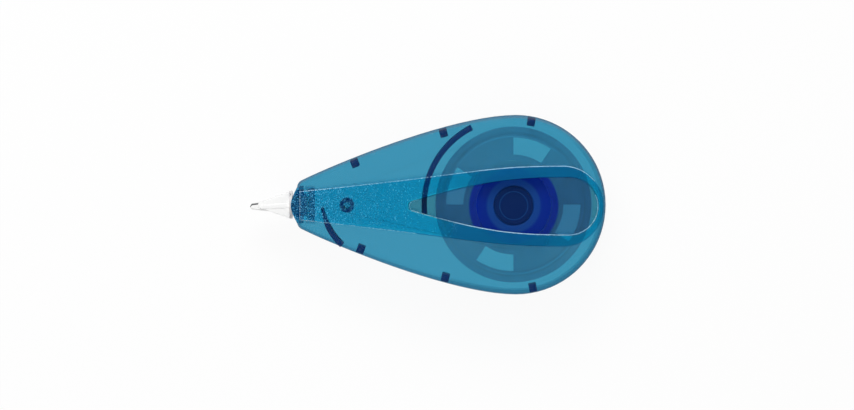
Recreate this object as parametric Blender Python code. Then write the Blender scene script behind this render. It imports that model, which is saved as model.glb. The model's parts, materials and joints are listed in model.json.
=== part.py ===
"""Correction tape dispenser: a see-through two-part casing with raised grip bands, a
blade tip, and two reels on one axle that are joined by a slipping clutch."""

import math

import bmesh
import bpy
from mathutils import Vector

# Driving sizes, in millimetres and degrees
TAPE_WIDTH = 4.2
FILM_THICKNESS = 0.12
PACK_RADIUS = 11.1
CORE_RADIUS = 7.4
HUB_RADIUS = 6.3
AXLE_RADIUS = 3.1
AXLE_WALL = 1.1
CAP_RADIUS = 4.75
CAP_RING_RADIUS = 3.7
DRUM_RADIUS = 17.6
REEL_LIP = 1.9
DRUM_WALL = 0.7
SPENT_FILM = 0.4
REEL_SLOT_RADIUS = 12.5
REEL_SLOT_COUNT = 4
REEL_SLOT_ANGLE = 35.0
FLANGE_THICKNESS = 0.55
CLUTCH_THICKNESS = 0.4
SPRING_THICKNESS = 0.2
WALL = 1.4
EDGE_RADIUS = 0.7
SIDE_BULGE = 0.45
TAIL_SHIFT = 0.65
NOSE_REACH = 54.1
NOSE_HALF = 5.6
NOSE_DROP = 2.2
NOSE_WALL = 2.0
COLLAR_RADIUS = 3.9
COLLAR_REACH = 1.5
COLLAR_HEIGHT = 4.2
GRIP_HALF = 10.05
GRIP_NOSE_HALF = 3.6
GRIP_RAISE = 0.8
GRIP_TAIL_WIDTH = 1.5
WINDOW_HALF = 7.1
WINDOW_LENGTH = 47.6
TIP_LENGTH = 9.8
TIP_BASE_RADIUS = 3.5
TIP_BASE_THICKNESS = 0.6
BLADE_HALF = 0.4
BLADE_BARE = 1.6
TONGUE_HALF = 1.5
TONGUE_BACK_HALF = 0.45
NECK_HALF = 2.3
CHEEK_WIDTH = 0.55
CHEEK_RIB_HALF = 0.4
CHEEK_RIB_RAISE = 0.25
PLATE_HALF = 3.7
PLATE_THICKNESS = 0.45
PLATE_LIP = 0.15
RAIL_THICKNESS = 0.6
KEEPER_THICKNESS = 1.5
KEEPER_WIDTH = 2.0
RIB_THICKNESS = 1.3
RIB_OUT = 0.5
RIB_START_ANGLE = 114.0
RIB_END_ANGLE = 184.7
POST_RADIUS = 1.75
POST_BORE = 0.9
POST_BORE_DEPTH = 2.6
POST_BACK = 12.5
FINGER_BACK = 6.2
FINGER_RUN = 5.2
FINGER_BOW_DEPTH = 0.55
FINGER_DROP = 1.15
TAB_PLACES = (-39.5, -17.6, 4.65)
TAB_WIDTH = 1.9
TAB_REACH = 3.0
TAB_THICKNESS = 0.85
TAB_ROOT = 3.5
CATCH_DEPTH = 0.5
POCKET_DEPTH = 0.7
CAP_PLUG = 2.6
CAP_GROOVE = 0.3
CAP_GROOVE_DEPTH = 0.2
TAKEUP_HUB_WALL = 1.3
FLANGE_LAND = 0.6
SPRING_WAVES = 3

# Clearances, in millimetres
RUNNING = 0.08
SEAT = 0.05
PRESS = 0.1
REEL_GAP = 1.5
END_GAP = 0.3
TOP_GAP = 0.5
FILM_GAP = 0.08
PANE_LAP = 0.5
PANE_GAP = 0.15
TIP_GAP = 0.3
PLATE_GAP = 0.4
LEAF_GAP = 0.2
SLOT_GAP = 0.9
STRAND_GAP = 0.4

# How finely curves are divided
ROUND = 48
BORE_ROUND = 40
TAIL_STEPS = 15
FLANK_STEPS = 16
CORNER_STEPS = 3
EDGE_STEPS = 3

# Heights of the reel stack, counted from the parting plane of the casing
CHANNEL = TAPE_WIDTH + 4 * SEAT
STACK = (
    END_GAP + FLANGE_THICKNESS + CHANNEL + FLANGE_THICKNESS + SEAT + CLUTCH_THICKNESS
    + SEAT + TAPE_WIDTH + SEAT + FLANGE_THICKNESS + TOP_GAP
)
INNER_HALF = STACK / 2
TAKEUP_LOW = END_GAP - INNER_HALF
CHANNEL_LOW = TAKEUP_LOW + FLANGE_THICKNESS
CHANNEL_TOP = CHANNEL_LOW + CHANNEL
WEB_TOP = CHANNEL_TOP + FLANGE_THICKNESS
CLUTCH_LOW = WEB_TOP + SEAT
PACK_LOW = CLUTCH_LOW + CLUTCH_THICKNESS + SEAT
PACK_TOP = PACK_LOW + TAPE_WIDTH
FLANGE_LOW = PACK_TOP + SEAT
FLANGE_TOP = FLANGE_LOW + FLANGE_THICKNESS
PACK_MID = (PACK_LOW + PACK_TOP) / 2
DRUM_MID = (CHANNEL_LOW + CHANNEL_TOP) / 2
AXLE_TOP = PACK_TOP + 2 * SEAT
CAP_LOW = AXLE_TOP + SEAT
HALF_BODY = INNER_HALF + WALL

# Places along the length, counted from the reel axis
REEL_RADIUS = DRUM_RADIUS + REEL_LIP
TAIL_RADIUS = REEL_RADIUS + REEL_GAP + WALL
TAPER_START = REEL_RADIUS + REEL_GAP
COLLAR_FRONT = NOSE_REACH + COLLAR_REACH
BASE_BACK = COLLAR_FRONT + PANE_GAP
BASE_FRONT = BASE_BACK + TIP_BASE_THICKNESS
BLADE_END = BASE_BACK + TIP_LENGTH
TIP_EXTENT = BLADE_END + FILM_GAP + FILM_THICKNESS
CHEEK_END = BLADE_END - BLADE_BARE
PLATE_FRONT = NOSE_REACH - NOSE_WALL - PLATE_GAP
PLATE_BACK = PLATE_FRONT - PLATE_THICKNESS
TONGUE_BACK = PLATE_BACK - SEAT
POST_X = POST_BACK - NOSE_REACH
FINGER_X = FINGER_BACK - NOSE_REACH
AXIS_X = (TIP_EXTENT - TAIL_RADIUS - TAIL_SHIFT) / 2
MID_Z = HALF_BODY + GRIP_RAISE
FILM_HALF = TAPE_WIDTH / 2
CHEEK_INNER = FILM_HALF + 2 * SEAT
CHEEK_OUTER = CHEEK_INNER + CHEEK_WIDTH
TAKEUP_FILM_RADIUS = DRUM_RADIUS + SEAT + SPENT_FILM
FAR = 30.0


def clear_scene():
    for obj in list(bpy.data.objects):
        bpy.data.objects.remove(obj)


def curve(start, first, second, end, steps):
    """Points of a cubic curve from start to end, both ends included."""
    found = []
    for step in range(steps + 1):
        t = step / steps
        s = 1 - t
        weights = (s ** 3, 3 * s * s * t, 3 * s * t * t, t ** 3)
        points = (start, first, second, end)
        found.append(tuple(sum(w * p[k] for w, p in zip(weights, points)) for k in (0, 1)))
    return found


def arc(centre, radius, start, end, steps):
    """Points of an arc between two angles in degrees, both ends included."""
    angles = [math.radians(start + (end - start) * step / steps) for step in range(steps + 1)]
    return [(centre[0] + radius * math.cos(a), centre[1] + radius * math.sin(a)) for a in angles]


def evenly(points, steps):
    """The same polyline with its points spread evenly along its length."""
    runs = [math.dist(a, b) for a, b in zip(points, points[1:])]
    total = sum(runs)
    found = [points[0]]
    for step in range(1, steps):
        goal = total * step / steps
        index = 0
        while goal > runs[index]:
            goal -= runs[index]
            index += 1
        t = goal / runs[index]
        a, b = points[index], points[index + 1]
        found.append((a[0] + t * (b[0] - a[0]), a[1] + t * (b[1] - a[1])))
    return found + [points[-1]]


def mirrored(half):
    """A closed outline from its upper half, which starts on the centre line at the tail."""
    lower = [(x, -y) for x, y in reversed(half) if abs(y) > 1e-6]
    return half + lower


def moved_out(outline, distance):
    """A closed counterclockwise outline with every side moved out by a distance."""
    found = []
    count = len(outline)
    for i, here in enumerate(outline):
        back = Vector(here) - Vector(outline[i - 1])
        ahead = Vector(outline[(i + 1) % count]) - Vector(here)
        first = Vector((back.y, -back.x)).normalized()
        second = Vector((ahead.y, -ahead.x)).normalized()
        middle = (first + second).normalized()
        reach = distance / max(middle.dot(first), 0.3)
        found.append((here[0] + reach * middle.x, here[1] + reach * middle.y))
    return found


def flank_points(inset):
    """The casing's side from the top of the tail towards the nose, moved in by inset."""
    rise = TAIL_RADIUS - NOSE_HALF
    run = NOSE_REACH + TAIL_SHIFT
    start = (TAIL_SHIFT, TAIL_RADIUS)
    first = (TAIL_SHIFT - 0.32 * run, TAIL_RADIUS)
    second = (TAIL_SHIFT - 0.94 * run, NOSE_HALF + 0.12 * rise)
    end = (-NOSE_REACH, NOSE_HALF)
    points = curve(start, first, second, end, 120)
    found = []
    for i, here in enumerate(points):
        a = points[max(i - 1, 0)]
        b = points[min(i + 1, len(points) - 1)]
        along = Vector((b[0] - a[0], b[1] - a[1])).normalized()
        if i == 0:
            along = Vector((-1.0, 0.0))
        found.append((here[0] - inset * along.y, here[1] + inset * along.x))
    return found


def flank_place(x):
    """Point on the casing's side at a given x, and the outward direction there."""
    points = flank_points(0.0)
    if x >= TAIL_SHIFT:
        out = x - TAIL_SHIFT
        y = math.sqrt(TAIL_RADIUS ** 2 - out * out)
        return Vector((x, y)), Vector((out, y)).normalized()
    for a, b in zip(points, points[1:]):
        if b[0] <= x <= a[0]:
            t = (a[0] - x) / (a[0] - b[0])
            along = (Vector(b) - Vector(a)).normalized()
            return Vector(a).lerp(Vector(b), t), Vector((along.y, -along.x))
    raise ValueError("no place on the side at that x")


def casing_half(inset, front):
    """Upper half of the casing outline, moved in by inset and at the nose by front."""
    tail = arc((TAIL_SHIFT, 0), TAIL_RADIUS - inset, 0, 90, TAIL_STEPS)
    nose = front - NOSE_REACH
    corner = 0.5
    side = [p for p in flank_points(inset) if p[0] > nose + corner]
    last = side[-1]
    low = (nose, last[1] - 1.3 * corner)
    turn = (nose, last[1] - 0.45 * corner)
    rounding = []
    for step in range(1, CORNER_STEPS + 1):
        t = step / CORNER_STEPS
        s = 1 - t
        rounding.append(
            tuple(s * s * last[k] + 2 * s * t * turn[k] + t * t * low[k] for k in (0, 1))
        )
    return tail + evenly(side, FLANK_STEPS)[1:] + rounding


def face_height(x):
    """Height of the casing's outer face above the parting plane: lower towards the nose."""
    u = min(max((-x - TAPER_START) / (NOSE_REACH - TAPER_START), 0.0), 1.2)
    return HALF_BODY - NOSE_DROP * (1.5 * u * u - 0.5 * u ** 3)


def object_from(name, bm):
    bmesh.ops.recalc_face_normals(bm, faces=bm.faces)
    mesh = bpy.data.meshes.new(name)
    bm.to_mesh(mesh)
    bm.free()
    obj = bpy.data.objects.new(name, mesh)
    bpy.context.scene.collection.objects.link(obj)
    return obj


def dome(name, inset, front, top, radius, bottom):
    """Closed solid with the casing's outline: slightly bulging sides, a rounded edge and a
    face that follows the taper, moved down by top."""
    def level(moved, height):
        outline = mirrored(casing_half(inset + moved, front + moved))
        return [(x, y, height(x)) for x, y in outline]

    rings = [level(0.0, lambda x: bottom)]
    if bottom < 0:
        rings.append(level(0.0, lambda x: 0.0))
    rings.append(level(0.3 * SIDE_BULGE, lambda x: 0.55 * (face_height(x) - top - radius)))
    for step in range(EDGE_STEPS + 1):
        angle = math.radians(90 * step / EDGE_STEPS)
        inward = SIDE_BULGE + radius * (1 - math.cos(angle))
        drop = radius * (1 - math.sin(angle))
        rings.append(level(inward, lambda x: face_height(x) - top - drop))
    bm = bmesh.new()
    loops = [[bm.verts.new(p) for p in points] for points in rings]
    count = len(loops[0])
    for low, high in zip(loops, loops[1:]):
        for i in range(count):
            bm.faces.new((low[i], low[(i + 1) % count], high[(i + 1) % count], high[i]))
    for loop in (loops[0], loops[-1]):
        bm.faces.new((loop[0], loop[1], loop[-1]))
        for i in range(1, count // 2):
            bm.faces.new((loop[i], loop[i + 1], loop[-i - 1], loop[-i]))
    bmesh.ops.triangulate(bm, faces=bm.faces)
    return object_from(name, bm)


def prism(name, outline, low, high):
    bm = bmesh.new()
    face = bm.faces.new([bm.verts.new((x, y, low)) for x, y in outline])
    made = bmesh.ops.extrude_face_region(bm, geom=[face])
    risen = [v for v in made["geom"] if isinstance(v, bmesh.types.BMVert)]
    bmesh.ops.translate(bm, vec=(0, 0, high - low), verts=risen)
    return object_from(name, bm)


def box(name, low, high):
    outline = [(low[0], low[1]), (high[0], low[1]), (high[0], high[1]), (low[0], high[1])]
    return prism(name, outline, low[2], high[2])


def across(name, profile):
    """Bar across the whole casing with a profile of points (x, height)."""
    bm = bmesh.new()
    face = bm.faces.new([bm.verts.new((x, -FAR, z)) for x, z in profile])
    made = bmesh.ops.extrude_face_region(bm, geom=[face])
    moved = [v for v in made["geom"] if isinstance(v, bmesh.types.BMVert)]
    bmesh.ops.translate(bm, vec=(0, 2 * FAR, 0), verts=moved)
    return object_from(name, bm)


def slab(name, low, high):
    """Layer over the whole casing between two distances from its outer face."""
    stations = [FAR, -TAPER_START]
    span = NOSE_REACH - TAPER_START
    stations += [-TAPER_START - span * step / 14 for step in range(1, 17)]
    under = [(x, face_height(x) + low) for x in stations]
    over = [(x, face_height(x) + high) for x in reversed(stations)]
    return across(name, under + over)


def turned(name, profile, steps, axis="Z", closed=True):
    """Solid of revolution from points (radius, height). An open profile ends on the axis."""
    bm = bmesh.new()
    place = {"Z": lambda r, h: (r, 0, h), "X": lambda r, h: (h, r, 0)}[axis]
    verts = [bm.verts.new(place(r, h)) for r, h in profile]
    edges = [bm.edges.new(pair) for pair in zip(verts, verts[1:])]
    if closed:
        edges.append(bm.edges.new((verts[-1], verts[0])))
    direction = (0, 0, 1) if axis == "Z" else (1, 0, 0)
    bmesh.ops.spin(
        bm, geom=verts + edges, cent=(0, 0, 0), axis=direction, dvec=(0, 0, 0),
        angle=2 * math.pi, steps=steps, use_merge=True, use_duplicate=False,
    )
    bmesh.ops.remove_doubles(bm, verts=bm.verts, dist=0.0001)
    return object_from(name, bm)


def ring(name, inner, outer, low, high, steps=ROUND):
    return turned(name, [(inner, low), (outer, low), (outer, high), (inner, high)], steps)


def cylinder(name, centre, radius, low, high, steps=24):
    return prism(name, arc(centre, radius, 0, 360 - 360 / steps, steps - 1), low, high)


def sector(name, inner, outer, start, end, low, high, steps):
    outline = arc((0, 0), outer, start, end, steps) + arc((0, 0), inner, end, start, steps)
    return prism(name, outline, low, high)


def ribbon(name, path, thickness, width):
    """Strip of tape on edge: path gives x, y and the height of the strip's middle."""
    bm = bmesh.new()
    rows = []
    for i, here in enumerate(path):
        a = path[max(i - 1, 0)]
        b = path[min(i + 1, len(path) - 1)]
        back = Vector((here[0] - a[0], here[1] - a[1]))
        ahead = Vector((b[0] - here[0], b[1] - here[1]))
        along = (back.normalized() + ahead.normalized()).normalized()
        lean = along.dot((ahead if i == 0 else back).normalized())
        side = Vector((-along.y, along.x)) * (0.5 * thickness / lean)
        corners = ((1, 1), (1, -1), (-1, -1), (-1, 1))
        rows.append([
            bm.verts.new((here[0] + s * side.x, here[1] + s * side.y, here[2] + u * width / 2))
            for s, u in corners
        ])
    for one, two in zip(rows, rows[1:]):
        for i in range(4):
            bm.faces.new((one[i], one[(i + 1) % 4], two[(i + 1) % 4], two[i]))
    bm.faces.new(rows[0])
    bm.faces.new(rows[-1])
    return object_from(name, bm)


def combine(target, operation, tools):
    """Applies one exact Boolean after another and removes the tools."""
    for tool in tools:
        modifier = target.modifiers.new(operation.lower(), "BOOLEAN")
        modifier.operation = operation
        modifier.solver = "EXACT"
        modifier.object = tool
    bpy.context.view_layer.update()
    graph = bpy.context.evaluated_depsgraph_get()
    mesh = bpy.data.meshes.new_from_object(target.evaluated_get(graph))
    target.modifiers.clear()
    target.data = mesh
    for tool in tools:
        bpy.data.objects.remove(tool)
    return target


def turned_over(obj):
    """The same shape mirrored through the parting plane."""
    bm = bmesh.new()
    bm.from_mesh(obj.data)
    bmesh.ops.scale(bm, vec=(1, 1, -1), verts=bm.verts)
    bmesh.ops.reverse_faces(bm, faces=bm.faces)
    bm.to_mesh(obj.data)
    bm.free()
    return obj


def grip_half():
    """Upper half of the grip band's outer outline."""
    end = TAIL_SHIFT + TAIL_RADIUS - EDGE_RADIUS
    centre = end - GRIP_HALF
    nose = EDGE_RADIUS - NOSE_REACH
    run = centre - nose
    rise = GRIP_HALF - GRIP_NOSE_HALF
    side = curve(
        (centre, GRIP_HALF), (centre - 0.31 * run, GRIP_HALF),
        (centre - 0.30 * run, GRIP_NOSE_HALF + 0.74 * rise), (nose, GRIP_NOSE_HALF), 18,
    )
    return arc((centre, 0), GRIP_HALF, 0, 90, 12) + side[1:]


def window_half():
    """Upper half of the teardrop inside the grip band."""
    end = TAIL_SHIFT + TAIL_RADIUS - EDGE_RADIUS - GRIP_TAIL_WIDTH
    centre = end - WINDOW_HALF
    point = end - WINDOW_LENGTH
    blunt = 0.1 * WINDOW_HALF
    run = centre - point - 0.7 * blunt
    side = curve(
        (centre, WINDOW_HALF), (centre - 0.35 * run, WINDOW_HALF),
        (centre - 0.54 * run, 0.88 * WINDOW_HALF), (point + 0.7 * blunt, blunt), 16,
    )
    return arc((centre, 0), WINDOW_HALF, 0, 90, 10) + side[1:] + [(point, 0)]


def finger_line(reach):
    """Middle line of the curved guide finger, from its free end towards the casing wall."""
    x = FINGER_X + FINGER_RUN
    place, _ = flank_place(x)
    end = Vector((x, WALL / 2 - place.y))
    start = Vector((FINGER_X, -FINGER_DROP))
    across = (end - start).normalized()
    middle = (start + end) / 2 + Vector((across.y, -across.x)) * 2 * FINGER_BOW_DEPTH
    found = []
    for step in range(9):
        t = reach * step / 8
        s = 1 - t
        found.append(s * s * start + 2 * s * t * middle + t * t * end)
    return found


def finger(name, reach, low, high):
    line = finger_line(reach)
    one = []
    two = []
    for i, here in enumerate(line):
        along = (line[min(i + 1, 8)] - line[max(i - 1, 0)]).normalized()
        side = Vector((-along.y, along.x)) * RIB_THICKNESS / 2
        one.append(tuple(here + side))
        two.append(tuple(here - side))
    along = (line[0] - line[1]).normalized()
    nose = tuple(line[0] + along * RIB_THICKNESS * 0.4)
    return prism(name, one + two[::-1] + [nose], low, high)


def tab_places():
    """Places of the snap tabs along the casing sides, as x and the sign of y."""
    return [(x, sign) for x in TAB_PLACES for sign in (1, -1)]


def along_wall(name, x, sign, profile, width):
    """Bar along the casing wall: the profile gives depth in from the wall's inner face and
    height."""
    place, outward = flank_place(x)
    place = Vector((place.x, sign * place.y))
    outward = Vector((outward.x, sign * outward.y))
    along = Vector((-outward.y, outward.x))
    bm = bmesh.new()
    ends = []
    for end in (-0.5, 0.5):
        loop = []
        for depth, height in profile:
            spot = place - outward * (WALL + depth) + along * end * width
            loop.append(bm.verts.new((spot.x, spot.y, height)))
        ends.append(loop)
    count = len(profile)
    for i in range(count):
        k = (i + 1) % count
        bm.faces.new((ends[0][i], ends[0][k], ends[1][k], ends[1][i]))
    bm.faces.new(ends[0])
    bm.faces.new(ends[1])
    return object_from(name, bm)


def nose_rails():
    """Bars that hold the tip's inner plate: a rail on each side, and behind it a keeper wall
    with a way through for the tape."""
    made = []
    inner = PLATE_HALF + TIP_GAP
    outer = inner + RAIL_THICKNESS
    back = 2 * SEAT - PLATE_BACK
    end = back + KEEPER_THICKNESS
    front = NOSE_WALL / 2 - NOSE_REACH
    for sign in (1, -1):
        rail = sorted((sign * inner, sign * outer))
        keeper = sorted((sign * (outer - KEEPER_WIDTH), sign * (inner + RAIL_THICKNESS / 2)))
        made.append(box("rail", (front, rail[0], SEAT), (end, rail[1], FAR)))
        made.append(box("keeper", (back, keeper[0], SEAT), (end, keeper[1], FAR)))
    reach = inner + RAIL_THICKNESS / 4
    over = CHEEK_INNER + TIP_GAP
    made.append(box("bridge", (back + SEAT, -reach, over), (end - SEAT, reach, FAR)))
    return made


def collar(name):
    """Arched collar in front of the nose with a rounded upper edge, cut at the parting
    plane."""
    back = NOSE_WALL / 4 - NOSE_REACH
    angles = [math.radians(90 + 180 * step / 16) for step in range(17)]
    arch = [(COLLAR_REACH * math.cos(a) - NOSE_REACH, COLLAR_RADIUS * math.sin(a)) for a in angles]
    outline = [(back, COLLAR_RADIUS)] + arch + [(back, -COLLAR_RADIUS)]
    made = prism(name, outline, 0.0, FAR)
    round_off = arc((EDGE_RADIUS - COLLAR_FRONT, COLLAR_HEIGHT - EDGE_RADIUS), EDGE_RADIUS, 180, 90, 4)
    side = [(NOSE_WALL - NOSE_REACH, -1.0), (-COLLAR_FRONT, -1.0)] + round_off
    side += [(NOSE_WALL - NOSE_REACH, COLLAR_HEIGHT)]
    return combine(made, "INTERSECT", [across("collar_side", side)])


def nose_bore():
    y = NECK_HALF + TIP_GAP
    z = CHEEK_OUTER + TIP_GAP
    return box("nose_bore", (-COLLAR_FRONT - 1, -y, -z), (NOSE_WALL + 0.5 - NOSE_REACH, y, z))


def casing(name, ribs):
    """Half of the casing as a hollow moulding, with its face up and open at the bottom.
    The ribs are left standing in the hollow."""
    body = dome(name, 0.0, 0.0, 0.0, EDGE_RADIUS, 0.0)
    hollow = dome("hollow", WALL, NOSE_WALL, WALL, 0.5, -1.0)
    combine(hollow, "DIFFERENCE", ribs)
    combine(body, "DIFFERENCE", [hollow])
    combine(body, "UNION", [collar("collar")])
    return combine(body, "DIFFERENCE", [nose_bore()])


def front_shell():
    outer = TAIL_RADIUS + RIB_OUT
    rib = sector(
        "guard_rib", outer - RIB_THICKNESS, outer, RIB_START_ANGLE, RIB_END_ANGLE,
        2 * SEAT, FAR, 14,
    )
    socket = cylinder("socket", (POST_X, 0), POST_RADIUS, SEAT, FAR)
    guide = finger("guide_finger", 1.0, SEAT, FAR)
    body = casing("front_shell", nose_rails() + [rib, socket, guide])
    around = moved_out(mirrored(window_half()), PANE_LAP + PANE_GAP)
    opening = prism("opening", around, INNER_HALF - NOSE_DROP, FAR)
    bore = cylinder("socket_bore", (POST_X, 0), POST_BORE, -1.0, POST_BORE_DEPTH)
    combine(body, "DIFFERENCE", [opening, bore])
    deep = LEAF_GAP + TAB_THICKNESS
    slope = 0.25 * TAB_REACH
    profile = [
        (-CATCH_DEPTH, TAB_ROOT), (-CATCH_DEPTH, LEAF_GAP), (LEAF_GAP, LEAF_GAP),
        (LEAF_GAP, -2.4 * slope), (-CATCH_DEPTH, -2.5 * slope), (-CATCH_DEPTH, -3 * slope),
        (LEAF_GAP, -TAB_REACH), (deep, -TAB_REACH), (deep, TAB_ROOT),
    ]
    tabs = [along_wall("tab", x, sign, profile, TAB_WIDTH) for x, sign in tab_places()]
    lower = finger("finger_lower", 0.6, -FILM_HALF - TIP_GAP, 1.0)
    return combine(body, "UNION", tabs + [lower])


def back_shell():
    post = cylinder("post", (POST_X, 0), POST_RADIUS, 2 * SEAT, FAR)
    foot_radius = AXLE_RADIUS + RUNNING + TAKEUP_HUB_WALL
    foot = cylinder("foot", (0, 0), foot_radius, INNER_HALF - END_GAP + SEAT, FAR, BORE_ROUND)
    body = casing("back_shell", nose_rails() + [post, foot])
    axle = cylinder("axle", (0, 0), AXLE_RADIUS, -AXLE_TOP, INNER_HALF + WALL / 2, BORE_ROUND)
    pin = cylinder("pin", (POST_X, 0), POST_BORE - RUNNING, TIP_GAP - POST_BORE_DEPTH, 1.0)
    combine(body, "UNION", [axle, pin])
    bore = cylinder("axle_bore", (0, 0), AXLE_RADIUS - AXLE_WALL, -AXLE_TOP - 1, INNER_HALF - WALL)
    profile = [
        (-POCKET_DEPTH, TAB_REACH / 2), (-POCKET_DEPTH, TAB_REACH + TIP_GAP),
        (POCKET_DEPTH, TAB_REACH + TIP_GAP), (POCKET_DEPTH, TAB_REACH / 2),
    ]
    width = TAB_WIDTH + 2 * TIP_GAP
    pockets = [along_wall("pocket", x, sign, profile, width) for x, sign in tab_places()]
    combine(body, "DIFFERENCE", [bore] + pockets)
    return turned_over(body)


def grip(name):
    band = prism(name, mirrored(grip_half()), 1.0, FAR)
    hole = prism("hole", mirrored(window_half()), 0.0, FAR + 1)
    combine(band, "DIFFERENCE", [hole])
    return combine(band, "INTERSECT", [slab("layer", SEAT, GRIP_RAISE)])


def front_window():
    pane = prism("front_window", moved_out(mirrored(window_half()), PANE_LAP), 1.0, FAR)
    return combine(pane, "INTERSECT", [slab("layer", -WALL, -SEAT)])


def applicator_tip():
    """Tongue with a thin rounded blade end, two cheeks that keep the tape on it, a round
    base in front of the collar and a plate behind the nose wall."""
    profile = [
        (0, -BASE_BACK), (TIP_BASE_RADIUS, -BASE_BACK), (TIP_BASE_RADIUS, -BASE_FRONT),
        (0, -BASE_FRONT),
    ]
    base = turned("applicator_tip", profile, BORE_ROUND, axis="X", closed=False)
    lip = CHEEK_OUTER + PLATE_LIP
    plate = box("plate", (-PLATE_FRONT, -PLATE_HALF, -lip), (-PLATE_BACK, PLATE_HALF, lip))
    slot = TONGUE_HALF + SLOT_GAP
    for piece in (base, plate):
        way = box("film_way", (-BLADE_END, -slot, -CHEEK_INNER), (0, slot, CHEEK_INNER))
        combine(piece, "DIFFERENCE", [way])
    upper = [(-TONGUE_BACK, TONGUE_BACK_HALF), (-BASE_FRONT, TONGUE_HALF)]
    end = arc((BLADE_HALF - BLADE_END, 0), BLADE_HALF, 90, 270, 8)
    lower = [(x, -y) for x, y in reversed(upper)]
    height = CHEEK_INNER + CHEEK_WIDTH / 2
    tongue = prism("tongue", upper + end + lower, -height, height)
    foot = TIP_BASE_RADIUS - 2 * SEAT
    slope = (foot - BLADE_HALF) / (BLADE_END - BASE_FRONT)
    end_half = BLADE_HALF + slope * BLADE_BARE
    inside = TIP_BASE_THICKNESS / 3 - BASE_FRONT
    side = [
        (-PLATE_BACK, -NECK_HALF), (inside, -NECK_HALF), (inside, -foot), (-BASE_FRONT, -foot),
        (end_half / 2 - CHEEK_END, -end_half), (-CHEEK_END, -end_half / 2),
    ]
    cheek = side + [(x, -y) for x, y in reversed(side)]
    rib = [(inside, -CHEEK_RIB_HALF), (BLADE_BARE / 2 - CHEEK_END, -CHEEK_RIB_HALF / 2)]
    rib += [(x, -y) for x, y in reversed(rib)]
    top = CHEEK_OUTER + CHEEK_RIB_RAISE
    parts = [plate, tongue]
    for name, outline, near, far in (
        ("cheek", cheek, CHEEK_INNER, CHEEK_OUTER), ("cheek_rib", rib, height, top)
    ):
        parts.append(prism(name, outline, near, far))
        parts.append(prism(name, outline, -far, -near))
    return combine(base, "UNION", parts)


def axle_cap():
    """Button on top of the axle: a flat head with a shallow ring groove and a plug below."""
    plug = AXLE_RADIUS - AXLE_WALL - PRESS
    top = FLANGE_TOP - SEAT
    low = top - CAP_GROOVE_DEPTH
    inner = CAP_RING_RADIUS - CAP_GROOVE / 2
    outer = CAP_RING_RADIUS + CAP_GROOVE / 2
    profile = [
        (0, CAP_LOW - CAP_PLUG), (plug, CAP_LOW - CAP_PLUG), (plug, CAP_LOW),
        (CAP_RADIUS, CAP_LOW), (CAP_RADIUS, top), (outer, top), (outer, low), (inner, low),
        (inner, top), (0, top),
    ]
    return turned("axle_cap", profile, BORE_ROUND, closed=False)


def supply_hub():
    """Turns on the axle; the counterbore on top holds the clutch spring."""
    bore = AXLE_RADIUS + RUNNING
    step = CAP_RADIUS + 2 * SEAT
    floor = PACK_TOP - 5 * SPRING_THICKNESS
    profile = [
        (bore, PACK_LOW), (HUB_RADIUS, PACK_LOW), (HUB_RADIUS, PACK_TOP), (step, PACK_TOP),
        (step, floor), (bore, floor),
    ]
    return turned("supply_hub", profile, BORE_ROUND)


def takeup_drum():
    bore = AXLE_RADIUS + RUNNING
    hub = bore + TAKEUP_HUB_WALL
    inner = DRUM_RADIUS - DRUM_WALL
    profile = [
        (bore, TAKEUP_LOW), (hub, TAKEUP_LOW), (hub, CHANNEL_TOP),
        (inner, CHANNEL_TOP), (inner, CHANNEL_LOW), (DRUM_RADIUS, CHANNEL_LOW),
        (DRUM_RADIUS, CHANNEL_TOP), (REEL_RADIUS, CHANNEL_TOP), (REEL_RADIUS, WEB_TOP),
        (bore, WEB_TOP),
    ]
    drum = turned("takeup_drum", profile, ROUND)
    slots = []
    for index in range(REEL_SLOT_COUNT):
        end = 360 * index / REEL_SLOT_COUNT
        slots.append(sector(
            "slot", REEL_SLOT_RADIUS, inner - 2 * SEAT, end - REEL_SLOT_ANGLE, end,
            CHANNEL_TOP - 1, WEB_TOP + 1, 5,
        ))
    return combine(drum, "DIFFERENCE", slots)


def clutch_spring():
    """Wave washer round the axle, between the hub and the cap."""
    inner = AXLE_RADIUS + 3 * SEAT
    outer = CAP_RADIUS - 3 * SEAT
    middle = PACK_TOP - 2.5 * SPRING_THICKNESS
    bm = bmesh.new()
    rows = []
    for step in range(36):
        angle = 2 * math.pi * step / 36
        height = middle + SPRING_THICKNESS * math.cos(SPRING_WAVES * angle)
        row = []
        for radius, up in ((inner, -0.5), (outer, -0.5), (outer, 0.5), (inner, 0.5)):
            spot = (radius * math.cos(angle), radius * math.sin(angle), height + up * SPRING_THICKNESS)
            row.append(bm.verts.new(spot))
        rows.append(row)
    for i, one in enumerate(rows):
        two = rows[(i + 1) % 36]
        for k in range(4):
            bm.faces.new((one[k], one[(k + 1) % 4], two[(k + 1) % 4], two[k]))
    return object_from("clutch_spring", bm)


def film_height(x, goal):
    """The tape's middle: level with the tip at the nose, level with its reel at the reel."""
    start = -TONGUE_BACK
    end = -TAPER_START
    t = min(max((x - start) / (end - start), 0.0), 1.0)
    return goal * t


def tangent_angle(point, radius, sign):
    """Angle, in degrees, where a line from a point touches a circle round the reel axis."""
    away = math.degrees(math.atan2(point[1], point[0]))
    return away + sign * math.degrees(math.acos(radius / math.hypot(*point)))


def film_offset():
    return FILM_GAP + FILM_THICKNESS / 2


def strand(name, points, goal):
    """Tape on edge through a few points, divided so that its height changes evenly."""
    path = []
    for a, b in zip(points, points[1:]):
        pieces = max(2, round(math.dist(a, b) / 4))
        for step in range(pieces):
            t = step / pieces
            x = a[0] + t * (b[0] - a[0])
            path.append((x, a[1] + t * (b[1] - a[1]), film_height(x, goal)))
    last = points[-1]
    path.append((last[0], last[1], film_height(last[0], goal)))
    return ribbon(name, path, FILM_THICKNESS, TAPE_WIDTH)


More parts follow.
